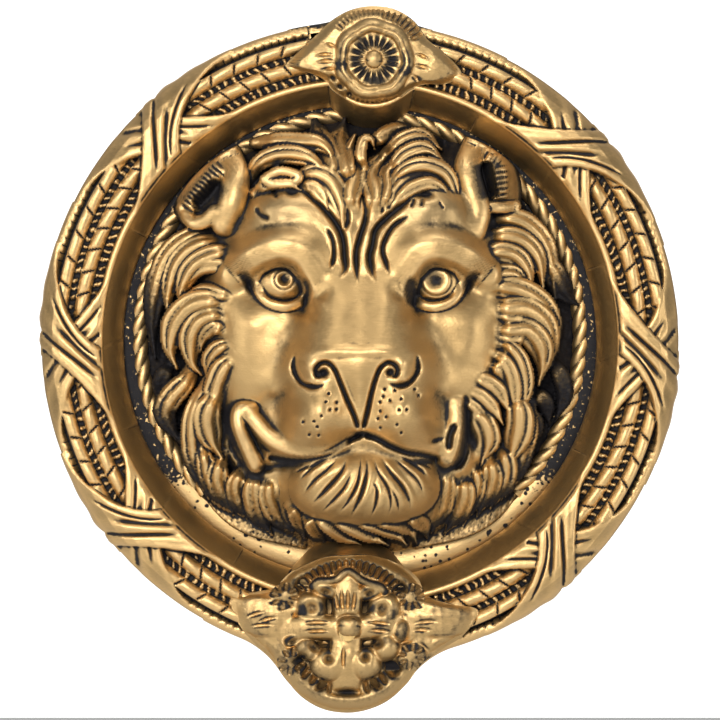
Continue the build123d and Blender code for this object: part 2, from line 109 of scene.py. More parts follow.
def place(x, y, height):
    """Points of the millimetre drawing in the row's frame."""
    return np.stack([x, -np.broadcast_to(height, np.shape(x)), y], axis=-1).reshape(-1, 3) * MM


def mesh_object(name, points, faces):
    """A smooth-shaded mesh in the scene."""
    mesh = bpy.data.meshes.new(name)
    mesh.from_pydata(points.tolist(), [], faces)
    mesh.validate()
    mesh.update()
    mesh.polygons.foreach_set("use_smooth", [True] * len(mesh.polygons))
    piece = bpy.data.objects.new(name, mesh)
    bpy.context.scene.collection.objects.link(piece)
    return piece


def grid_faces(rows, columns, start=0, wrap_rows=False, wrap_columns=False):
    """Quads between neighbouring points of a grid of points."""
    r = np.arange(rows if wrap_rows else rows - 1)
    c = np.arange(columns if wrap_columns else columns - 1)
    r, c = np.meshgrid(r, c, indexing="ij")
    below = (r + 1) % rows
    right = (c + 1) % columns
    corners = [r * columns + c, r * columns + right, below * columns + right, below * columns + c]
    return (np.stack(corners, axis=-1).reshape(-1, 4) + start).tolist()


def face_outwards(piece):
    """Makes all of a closed mesh's faces look out."""
    work = bmesh.new()
    work.from_mesh(piece.data)
    bmesh.ops.recalc_face_normals(work, faces=work.faces)
    work.to_mesh(piece.data)
    work.free()


def neighbour_mean(values, edges, counts):
    """For each point, the mean of the points that it shares an edge with."""
    total = np.zeros_like(values)
    for axis in range(values.shape[1]):
        sums = np.bincount(edges[:, 0], values[edges[:, 1], axis], len(values))
        sums += np.bincount(edges[:, 1], values[edges[:, 0], axis], len(values))
        total[:, axis] = sums
    return total / counts[:, None]


def read_rows(items, field, width, kind=float):
    """A property of all of a mesh's points or edges, one row for each."""
    values = np.empty(len(items) * width, dtype=kind)
    items.foreach_get(field, values)
    return values.reshape(-1, width)


def store(mesh, name, values, given):
    """Keeps values as an attribute, with `given` as their least for the first points of the mesh."""
    given = np.ravel(given)
    first = slice(0, len(given) if len(given) > 1 else None)
    values[first] = np.maximum(values[first], given)
    layer = mesh.attributes.new(name, "FLOAT", "POINT")
    layer.data.foreach_set("value", values.astype(np.float32))


FINE_PASSES = ((5, 0.14), (30, 0.85))  # smoothing steps and the depth in mm of a full hollow
# the broadest pass marks wide hollows for painted shade, partly patina, that darkens the metal
BROAD_PASS = (150, 1.8)  # only tones the metal down
FULLEST = 1.5  # times a full hollow


def mark_hollows(piece, dark=0, painted_shade=0):
    """Stores on each point how deep it lies in a hollow, for the patina, and how proud it stands.

    `dark` is patina that is there anyway for the first points of the mesh; the last argument is painted shade
    laid on the same points.

    The mesh is smoothed step by step; where the smoothed surface lies above the real one, the
    point is in a hollow of about that size.
    """
    mesh = piece.data
    points = read_rows(mesh.vertices, "co", 3)
    normals = read_rows(mesh.vertices, "normal", 3)
    edges = read_rows(mesh.edges, "vertices", 2, np.int64)
    counts = np.bincount(edges.ravel(), minlength=len(points)).astype(float)
    counts[counts == 0] = 1
    smoothed = points.copy()
    done = 0
    lifts = []
    for steps, depth in FINE_PASSES + (BROAD_PASS,):
        for _ in range(steps - done):
            smoothed = 0.5 * smoothed + 0.5 * neighbour_mean(smoothed, edges, counts)
        done = steps
        lifts.append(((smoothed - points) * normals).sum(axis=1) / (depth * MM))
    small, middling, broad = lifts
    store(mesh, "hollow", np.clip(np.maximum(small, middling), 0, FULLEST), dark)
    store(mesh, "proud", np.clip(np.maximum(-small, -middling), 0, FULLEST), 0)
    # wide hollows: painted shade, partly patina, plus the painted shade given for the first points
    store(mesh, "shade", np.clip(broad, 0, FULLEST), painted_shade)


def casting(name, points, faces, body, nodes, dark=0, painted_shade=0):
    """A sculpted piece of antique brass that rides on a body and stands for CAD nodes."""
    piece = mesh_object(name, points, faces)
    face_outwards(piece)
    mark_hollows(piece, dark, painted_shade)
    dress(piece, SLOTS["sculpted_brass"])
    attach(piece, body)
    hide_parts(*nodes)


# ---- materials -----------------------------------------------------------------------------
class Nodes:
    """Short names for building a material's node tree."""

    def __init__(self, name):
        self.material = bpy.data.materials.new(name)
        self.material.use_nodes = True
        self.tree = self.material.node_tree
        self.shader = self.tree.nodes["Principled BSDF"]

    def add(self, kind, inputs=None, **settings):
        node = self.tree.nodes.new(kind)
        for key, value in settings.items():
            setattr(node, key, value)
        for key, value in (inputs or {}).items():
            self.put(node.inputs[key], value)
        return node

    def put(self, socket, value):
        if isinstance(value, bpy.types.NodeSocket):
            self.tree.links.new(value, socket)
        else:
            socket.default_value = value

    def math(self, operation, a, b):
        return self.add("ShaderNodeMath", {0: a, 1: b}, operation=operation).outputs[0]

    def sum(self, a, b):
        return self.math("ADD", a, b)

    def noise(self, scale, detail=4.0, vector=None):
        if vector is None:
            vector = self.add("ShaderNodeTexCoord").outputs["Object"]
        inputs = {"Vector": vector, "Scale": scale, "Detail": detail, "Roughness": 0.55}
        return self.add("ShaderNodeTexNoise", inputs).outputs["Fac"]

    def spread(self, value, amount):
        """A noise round 0.5, made a noise round zero."""
        return self.math("MULTIPLY", self.math("SUBTRACT", value, 0.5), amount)

    def point(self, name):
        """A value stored on the mesh's points."""
        return self.add("ShaderNodeAttribute", attribute_name=name).outputs["Fac"]

    def remap(self, value, low, high, to_low=0.0, to_high=1.0):
        """The value carried from one range to another, and held at its ends."""
        inputs = {0: value, 1: low, 2: high, 3: to_low, 4: to_high}
        return self.add("ShaderNodeMapRange", inputs).outputs[0]

    def mix(self, factor, first, second):
        """A colour between two others."""
        node = self.add("ShaderNodeMix", data_type="RGBA")
        self.put(node.inputs[0], factor)
        self.put(node.inputs[6], first)
        self.put(node.inputs[7], second)
        return node.outputs[2]

    def stretched(self, x, y, z):
        """Object coordinates scaled separately along each axis."""
        source = self.add("ShaderNodeTexCoord").outputs["Object"]
        return self.add("ShaderNodeMapping", {"Vector": source, "Scale": (x, y, z)}).outputs[0]

    def bumped(self, height, strength, distance, normal=None):
        inputs = {"Height": height, "Strength": strength, "Distance": distance}
        if normal is not None:
            inputs["Normal"] = normal
        return self.add("ShaderNodeBump", inputs).outputs["Normal"]


BRASS_LIGHT = (0.64, 0.428, 0.192, 1)
BRASS_DEEP = (0.45, 0.300, 0.130, 1)
# darkest brass: painted shade on the sculpted pieces, a random duller colour on the others
BRASS_DULL_AND_SHADED = (0.270, 0.195, 0.100, 1)
PATINA_BROWN = (0.090, 0.068, 0.042, 1)
PATINA_BLACK = (0.010, 0.009, 0.011, 1)
# clean and tarnished colour of the machined parts
TURNED_BRASS = ((0.80, 0.58, 0.26, 1), (0.58, 0.38, 0.14, 1))
PLATED_STEEL = ((0.62, 0.62, 0.60, 1), (0.42, 0.42, 0.41, 1))
BUSH_BRONZE = ((0.56, 0.33, 0.16, 1), (0.38, 0.21, 0.10, 1))


def sculpted_wear(n):
    """Hollow, proud and shade as stored on a sculpted piece's points."""
    return n.point("hollow"), n.point("proud"), n.point("shade")


def plain_wear(n):
    """Cloudy wear for a CAD piece."""
    return n.noise(60.0), n.noise(90.0), n.noise(40.0)


def plate_wear(n):
    """Wear for the backplate, pitted in front."""
    return pitted_plate(n), n.noise(90.0), n.noise(40.0)


def antique_brass(name, wear):
    """Satin cast brass, rubbed bright on what stands proud and left dark in the hollows; on sculpted pieces
    painted shade darkens broad hollows and marked patches.
    """
    n = Nodes(name)
    hollow, proud, shade = wear(n)
    wander = n.spread(n.noise(900.0, 6.0), 0.85)
    drift = n.spread(n.noise(55.0, 3.0), 0.5)
    dirt = n.sum(n.sum(hollow, wander), drift)
    brown = n.remap(dirt, 0.20, 0.78)
    black = n.remap(dirt, 0.66, 1.08)
    brushing = n.noise(1.0, 4.0, n.stretched(260.0, 1400.0, 2600.0))
    worn = n.remap(n.sum(n.sum(proud, drift), n.spread(brushing, 0.9)), 0.05, 0.75)
    clean = n.mix(worn, BRASS_DEEP, BRASS_LIGHT)
    # painted shade on sculpted pieces: the shade value carries the metal towards the darkest brass; on other
    # pieces it is a random cloudy variation
    metal = n.mix(n.remap(n.sum(shade, drift), 0.15, 1.2, 0.0, 0.85), clean, BRASS_DULL_AND_SHADED)
    stained = n.mix(brown, metal, PATINA_BROWN)
    n.put(n.shader.inputs["Base Color"], n.mix(black, stained, PATINA_BLACK))
    n.put(n.shader.inputs["Metallic"], n.remap(black, 0.2, 1.0, 1.0, 0.25))
    n.shader.inputs["Specular IOR Level"].default_value = 0.3
    satin = n.remap(brushing, 0.3, 0.7, 0.38, 0.52)
    n.put(n.shader.inputs["Roughness"], n.sum(satin, n.math("MULTIPLY", brown, 0.22)))
    grain = n.bumped(n.noise(1400.0, 4.0), 0.22, 0.0003)
    lines = n.bumped(brushing, 0.16, 0.0002, grain)
    waves = n.bumped(n.noise(120.0, 2.0), 0.12, 0.0009, lines)
    n.put(n.shader.inputs["Normal"], waves)
    return n.material


def pitted_plate(n):
    """Patina of the backplate's front: thick beside the rope, worn to scattered pits on the rim below."""
    axes = n.add("ShaderNodeSeparateXYZ", {0: n.stretched(1.0, 1.0, 1.0)}).outputs
    front = n.remap(axes["Y"], -0.0003, -0.0010)
    cell_inputs = {"Vector": n.stretched(1.0, 1.0, 1.0), "Scale": 400.0}
    cells = n.add("ShaderNodeTexVoronoi", cell_inputs).outputs["Distance"]
    uneven = n.spread(n.noise(300.0, 3.0), 0.8)
    pits = n.remap(n.sum(cells, uneven), 0.15, 0.30, 1.2, 0.0)
    crust = n.sum(n.noise(900.0, 3.0), n.remap(axes["Z"], -0.052, -0.040, -0.30, 0.22))
    thick = n.remap(crust, 0.50, 0.62, 0.0, 1.2)
    return n.math("MULTIPLY", n.math("MAXIMUM", pits, thick), front)


def plain_metal(name, colours, roughness, turning):
    """Machined hardware: fine tool lines, a little variation and slight tarnish."""
    n = Nodes(name)
    lines = n.noise(1.0, 2.0, n.stretched(*turning))
    tarnish = n.noise(140.0, 4.0)
    n.put(n.shader.inputs["Base Color"], n.mix(n.remap(tarnish, 0.35, 0.7), *colours))
    n.shader.inputs["Metallic"].default_value = 1.0
    n.put(n.shader.inputs["Roughness"], n.remap(lines, 0.3, 0.7, roughness - 0.06, roughness + 0.08))
    n.put(n.shader.inputs["Normal"], n.bumped(lines, 0.12, 0.0001))
    return n.material


def paper_white():
    """The studio floor's matt white."""
    n = Nodes("stage_floor")
    n.put(n.shader.inputs["Base Color"], n.mix(n.noise(3.0), (0.86, 0.86, 0.85, 1), (0.82, 0.82, 0.81, 1)))
    n.shader.inputs["Roughness"].default_value = 0.7
    return n.material


def dress(piece, material):
    """Gives a piece one material."""
    piece.data.materials.clear()
    piece.data.materials.append(material)


# ---- camera, light and floor ---------------------------------------------------------------
FOCAL_LENGTH = 146.7
FLOOR_HEIGHT = -0.30
LAMPS_AIM = (0, 0, -0.01)
LAMPS = (
    # name, place, size, watts, colour
    ("key_light", (-0.22, -1.10, 0.30), (0.55, 0.40), 10.6, (1.0, 0.98, 0.95)),
    ("top_light", (0.10, -0.30, 1.0), (0.50, 0.25), 3.6, (1.0, 0.98, 0.96)),
    ("side_light", (-0.85, -0.45, 0.10), (0.15, 0.6), 2.8, (1, 1, 1)),
    ("side_light_right", (0.9, -0.45, 0.05), (0.15, 0.6), 2.8, (1, 1, 1)),
)
SKY_RAMPS = (
    # axis of the direction, where the ramp starts and ends, brightness at its start and end
    ("Y", 0.72, 0.96, 0.0, 1.15),
    ("Z", -0.7, 0.8, 0.08, 0.40),
    ("Y", -0.45, -0.98, 0.0, 0.18),
)


def camera():
    """Looks straight at the door, as the photograph does."""
    data = bpy.data.cameras.new("camera")
    data.sensor_width = 36.0
    data.lens = FOCAL_LENGTH
    data.dof.use_dof = False
    eye = bpy.data.objects.new("camera", data)
    eye.location = (0.0, -EYE_DISTANCE, EYE_HEIGHT * MM)
    eye.rotation_euler = (math.radians(90), 0, 0)
    bpy.context.scene.collection.objects.link(eye)
    bpy.context.scene.camera = eye


def soft_light(name, place_at, size, watts, colour):
    """A rectangular lamp that faces the knocker."""
    data = bpy.data.lights.new(name, "AREA")
    data.shape = "RECTANGLE"
    data.size, data.size_y = size
    data.energy = watts
    data.color = colour
    lamp = bpy.data.objects.new(name, data)
    lamp.location = place_at
    way = mathutils.Vector(LAMPS_AIM) - mathutils.Vector(place_at)
    lamp.rotation_euler = way.to_track_quat("-Z", "Y").to_euler()
    bpy.context.scene.collection.objects.link(lamp)


def lights():
    """The lamps, and plain colours in place of the film-like ones that would turn brass orange."""
    bpy.context.scene.view_settings.view_transform = "Standard"
    for lamp in LAMPS:
        soft_light(*lamp)


def world():
    """A pale studio: bright behind the object and above it, dim in front and below."""
    sky = bpy.data.worlds.new("studio")
    bpy.context.scene.world = sky
    sky.use_nodes = True
    tree = sky.node_tree
    way = tree.nodes.new("ShaderNodeTexCoord").outputs["Generated"]
    axes = tree.nodes.new("ShaderNodeSeparateXYZ")
    tree.links.new(way, axes.inputs[0])
    total = None
    for axis, *levels in SKY_RAMPS:
        ramp = tree.nodes.new("ShaderNodeMapRange")
        tree.links.new(axes.outputs[axis], ramp.inputs[0])
        for socket, level in zip(ramp.inputs[1:5], levels):
            socket.default_value = level
        if total is None:
            total = ramp.outputs[0]
            continue
        add = tree.nodes.new("ShaderNodeMath")
        tree.links.new(total, add.inputs[0])
        tree.links.new(ramp.outputs[0], add.inputs[1])
        total = add.outputs[0]
    back = tree.nodes["Background"]
    back.inputs["Color"].default_value = (1.0, 1.0, 1.0, 1)
    tree.links.new(total, back.inputs["Strength"])


def floor():
    """A plain pale floor well below the knocker."""
    low = (0, 0, FLOOR_HEIGHT)
    bpy.ops.mesh.primitive_grid_add(x_subdivisions=4, y_subdivisions=4, size=3.0, location=low)
    ground = bpy.context.object
    ground.name = "stage_floor"
    dress(ground, paper_white())


# ---- the ring ------------------------------------------------------------------------------
RING_OUTER = 96.7
RING_INNER = 77.9  # crest of the inner wall
RING_MIDDLE = 86.0
RING_STEPS = 1260
RING_BACK = 7.7
VALLEY = 16.4  # height of the floor between the reeds
TIES = (-46.4, -94.2, -133.0, 45.2, 90.0, 134.3)  # degrees clockwise from the ornament's top
UPPER_PAD = (84.6, 15.6, 40.0)  # distance from the ring's centre, radius, blend to the ring
LOWER_PAD = (86.9, 24.2, 26.0)
UPPER_WALL = (84.9, 14.2)  # the inner wall is pushed in round the medallions
LOWER_WALL = (85.9, 21.4)


def wrapped(angle):
    """The same angle between half a turn back and half a turn on."""
    return (angle + math.pi) % (2 * math.pi) - math.pi


def outline_reach(angle, pad, at):
    """How far the ring's outline stands from its centre, drawn out round a pad with tangent arcs."""
    distance, radius, blend = pad
    off = np.abs(wrapped(angle - math.radians(at)))
    across = distance * np.sin(off)
    on_pad = distance * np.cos(off) + np.sqrt(np.clip(radius**2 - across**2, 0, None))
    hub = RING_OUTER + blend
    arm = radius + blend
    opening = math.acos((hub**2 + distance**2 - arm**2) / (2 * hub * distance))
    touch_x = hub * math.sin(opening) * radius / arm
    touch_y = distance + (hub * math.cos(opening) - distance) * radius / arm
    turn = math.atan2(touch_x, touch_y)
    rest = opening - off
    on_arc = hub * np.cos(rest) - np.sqrt(np.clip(blend**2 - (hub * np.sin(rest)) ** 2, 0, None))
    return np.where(off < turn, on_pad, np.where(off < opening, on_arc, RING_OUTER))


def wall_reach(angle, wall, at, plain):
    """The inner wall's distance from the centre, pushed in round a medallion."""
    distance, radius = wall
    off = wrapped(angle - math.radians(at))
    across = distance * np.sin(off)
    inside = np.sqrt(np.clip(radius**2 - across**2, 0, None))
    bulge = np.where((np.abs(across) < radius) & (np.cos(off) > 0), distance * np.cos(off) - inside, 999)
    return smooth_min(np.minimum(bulge, plain + 8), plain, 5.0)


INNER_CREST = ((-0.5, 19.8), (0, 20.1), (0.6, 20.1), (1.1, 19.5), (1.4, 18.3), (1.7, 17.0))
OUTER_EDGE = (
    # distance in from the outline, height
    (4.5, 14.6), (4.1, 14.2), (3.7, 15.0), (3.3, 15.9), (2.7, 16.2), (2.0, 16.1), (1.3, 15.7), (0.6, 14.9),
    (0.15, 13.8), (0.0, 12.4), (0.0, 10.2), (0.1, 8.6),
    (0.9, RING_BACK), (2.8, RING_BACK), (3.4, 8.6), (3.6, 10.6),
)
HOLLOW_BACK = ((91.0, 12.6), (86.0, 12.9), (81.0, 12.4))  # radius and height of the channel's top
INNER_BACK = ((-2.4, 10.6), (-3.2, 8.6), (-3.8, RING_BACK))
BACK_STATIONS = 9  # the last of the section's points lie at the back and carry no ornament


def ring_stations(angle):
    """Radius and height of the ring's plain cross-section at each angle, its outline and its inner crest."""
    top = TWIST
    bottom = 180 + TWIST
    reach = np.maximum(outline_reach(angle, UPPER_PAD, top), outline_reach(angle, LOWER_PAD, bottom))
    plain = np.full_like(angle, RING_INNER)
    upper_crest = wall_reach(angle, UPPER_WALL, top, plain)
    crest = np.minimum(upper_crest, wall_reach(angle, LOWER_WALL, bottom, plain))
    wall = [(-6.0 + 5.3 * (0.7 * up + 0.3 * up**2), RING_BACK + 11.5 * up) for up in np.linspace(0, 1, 15)]
    columns = [(crest + out, height) for out, height in tuple(wall) + INNER_CREST]
    columns += [(radius, VALLEY) for radius in np.arange(80.0, 92.2, 0.33)]
    columns += [(reach - inset, height) for inset, height in OUTER_EDGE]
    columns += HOLLOW_BACK
    columns += [(crest + out, height) for out, height in INNER_BACK]
    radius = np.stack([np.broadcast_to(column[0], angle.shape) for column in columns], axis=1)
    height = np.stack([np.broadcast_to(column[1], angle.shape) for column in columns], axis=1)
    return radius, height, reach, crest


def reed(radius, along, centre, half_width, rise, length, slant, seed):
    """One rope of the wreath: a round moulding cut into slanting segments."""
    u = (radius - centre) / half_width
    body = rise * np.sqrt(np.clip(1 - u**2, 0, 1))
    shift = slant * (radius - centre) + 0.5 * rough(along, 0 * along, 31.0, seed)
    part = np.abs(((along + shift) / length) % 1 - 0.5) * 2
    cut = smooth_step(0.86, 0.99, part)
    swell = 1 - 0.12 * part**2 + 0.05 * rough(along, radius, 6.0, seed + 7)
    return np.where(np.abs(u) < 1, body**0.8 * rise**0.2 * swell - cut * 1.6 * np.clip(1 - u**2, 0, 1), 0)


def beads(radius, along, centre, half_width, rise, pitch, seed):
    """The rough rungs between the reeds."""
    u = (radius - centre) / half_width
    shift = 1.1 * rough(along, radius * 2, 9.0, seed) + 0.35 * (radius - centre)
    rung = np.cos(2 * np.pi * (along + shift) / pitch)
    uneven = 0.85 + 0.55 * rough(along, radius * 3, 4.0, seed + 1)
    lump = 0.4 * rough(along * 2.3, radius * 4, 4.0, seed + 2)
    return np.where(np.abs(u) < 1, (rise * uneven * smooth_step(-0.4, 0.7, rung) + lump) * (1 - u**4), 0)


RIBBON_FOLDS = ((-0.38, 0.55, -8, 10), (0.16, 0.75, -11, 6), (0.60, 0.45, -4, 13))  # place, width, run
WREATH_TOP = (
    # distance out from the ring's middle, height of a ribbon that bridges reeds and valleys
    (-8.2, -7.2, -5, 0, 4, 6.2, 7.4, 8.7, 10.1),
    (20.7, 21.4, 21.8, 21.9, 21.4, 20.2, 18.9, 17.3, 15.4),
)


def ribbon(side, along, out, over):
    """A fluted ribbon laid slantwise over the wreath: its coverage and its thickness."""
    slope = side * 0.98
    off = (along - slope * out) / math.hypot(1, slope)
    run = (slope * along + out) / math.hypot(1, slope)
    half = 5.5 + 0.012 * run**2
    u = off / half
    cover = smooth_step(1.06, 0.94, np.abs(u))
    flutes = 0.22 * np.cos(9 * u + 0.06 * run) * (1 - u**2)
    thick = 0.55 * (1 - u**2) + 0.25 * bump((np.abs(u) - 0.86) * 5) + flutes
    for at, wide, begin, end in RIBBON_FOLDS:
        if not over:
            begin, end = -end, -begin
        inside = smooth_step(begin - 4, begin + 2, run) * smooth_step(end + 4, end - 2, run)
        bend = at * half + 0.6 * np.sin(run / 7 + 9 * at)
        thick = thick - inside * 1.2 * bump((off - bend) / (wide * 1.7))
    return cover, thick


REEDS = (
    # radius, half width, rise, length of a segment, slant of its cuts, seed
    (84.3, 2.2, 3.9, 7.0, 0.5, 3),
    (90.4, 2.1, 3.5, 7.4, -0.45, 4),
)
RUNGS = (
    # radius, half width, rise, pitch, seed
    (80.8, 1.5, 1.9, 2.7, 5),
    (87.35, 1.25, 1.7, 2.6, 6),
)


def wreath(along, radius, reach):
    """The reeds and their rungs, and the notched rim outside them."""
    relief = sum(reed(radius, along, *row) for row in REEDS)
    relief = relief + sum(beads(radius, along, *row) for row in RUNGS)
    inset = reach - radius
    waver = 0.7 * rough(along, 0 * along, 13.0, 8)
    ticks = smooth_step(0.55, 0.9, np.cos(2 * np.pi * (along + waver) / 2.3))
    rim = -0.75 * ticks * bump((inset - 3.2) / 1.5) + 0.10 * rough(along * 2.1, radius * 5, 3.0, 9)
    return np.where(inset > 4.0, relief, rim * (inset > 0.2))


def tie(relief, off, out, height, on_top):
    """Two ribbons crossed over the wreath, with a web in their lower fork; inside the ring they lie flat."""
    level = np.where(on_top, np.interp(out, *WREATH_TOP) - height, -0.35)
    wall = ~on_top & (out < 0)
    under, thin = ribbon(-1, off, out, False)
    cover, thick = ribbon(1, off, out, True)
    fork = np.abs(off) / (3.5 - 1.1 * np.minimum(out, 0))
    web = smooth_step(-7.6, -8.6, out) * smooth_step(1.25, 0.85, fork)
    laid = relief - 1.6 * bump(off / 13.0) * bump((out - 1) / 11.0)
    laid = laid * (1 - web) + web * 0.4
    laid = laid * (1 - under) + under * np.where(wall, 0.1, level - 1.0 + thin)
    return laid * (1 - cover) + cover * np.where(wall, 0.4, level + 0.2 + thick)


def ring_relief(angle, radius, height, reach, crest):
    """How far the ring's ornament stands out from the plain cross-section."""
    relief = wreath(angle * RING_MIDDLE, radius, reach)
    front = height > RING_BACK + 0.1
    on_top = (radius > crest + 0.05) & (reach - radius > 0.5)
    for degrees in TIES:
        off = wrapped(angle - math.radians(degrees + TWIST)) * RING_MIDDLE
        laid = tie(relief, off, radius - RING_MIDDLE, height, on_top)
        relief = np.where((np.abs(off) < 30) & front, laid, relief)
    return relief


def ring_casting():
    """The wreath ring: its plain section carried round, with the ornament added."""
    angle = np.linspace(0, 2 * np.pi, RING_STEPS, endpoint=False)
    radius, height, reach, crest = ring_stations(angle)
    angle, reach, crest = angle[:, None], reach[:, None], crest[:, None]
    relief = ring_relief(angle, radius, height, reach, crest)
    relief[:, -BACK_STATIONS:] = 0
    inner_wall = (radius < crest + 0.1) & (height > RING_BACK)
    # painted shade on the inner wall, which faces sideways: darker the nearer it lies to the back
    painted_shade = 0.75 * inner_wall * smooth_step(20.3, 12.0, height)
    step_r = np.roll(radius, -1, 1) - np.roll(radius, 1, 1)
    step_h = np.roll(height, -1, 1) - np.roll(height, 1, 1)
    size = np.hypot(step_r, step_h) + 1e-9
    # the front rises straight up; the walls grow sideways
    front = (radius > crest + 0.05) & (radius < reach - 0.5) & (height > 13.5)
    lean = np.where(front, 0, smooth_step(17.5, 12.0, height))
    radius = radius - relief * step_h / size * lean
    height = height + relief * (step_r / size * lean + (1 - lean))
    x = RING_CENTRE[0] + radius * np.sin(angle)
    y = RING_CENTRE[1] + radius * np.cos(angle)
    height = np.maximum(height, hinge_clearance(x, y))
    valley = (radius > crest + 1.2) & (radius < reach - 4.2)
    dark = valley * smooth_step(17.7, 16.7, height)
    faces = grid_faces(RING_STEPS, radius.shape[1], wrap_rows=True, wrap_columns=True)
    casting("wreath_ring", place(x, y, height), faces, "ring", ("knocker_ring",), dark, painted_shade)


def hinge_clearance(x, y):
    """Lowest height allowed at the top of the ring, so that it clears the hinge and its ears."""
    over_tab = smooth_step(24.0, 21.5, np.abs(x)) * smooth_step(79.5, 81.5, y)
    over_ears = smooth_step(16.5, 15.2, np.abs(x)) * smooth_step(73.5, 75.3, y) * smooth_step(94.0, 92.2, y)
    return np.maximum(14.6 * over_tab, 17.2 * over_ears)


# ---- relief drawing ------------------------------------------------------------------------
def smooth_curve(points, step=0.2):
    """A smooth curve through a few points, as closely spaced samples."""
    p = np.array(points, dtype=float)
    p = np.vstack([2 * p[0] - p[1], p, 2 * p[-1] - p[-2]])
    pieces = []
    for a, b, c, d in zip(p[:-3], p[1:-2], p[2:-1], p[3:]):
        count = max(2, int(np.linalg.norm(c[:2] - b[:2]) / step))
        t = np.linspace(0, 1, count, endpoint=False)[:, None]
        square = (2 * a - 5 * b + 4 * c - d) * t**2
        cube = (3 * b - a - 3 * c + d) * t**3
        pieces.append(0.5 * (2 * b + (c - a) * t + square + cube))
    pieces.append(p[-2][None, :])
    return np.vstack(pieces)


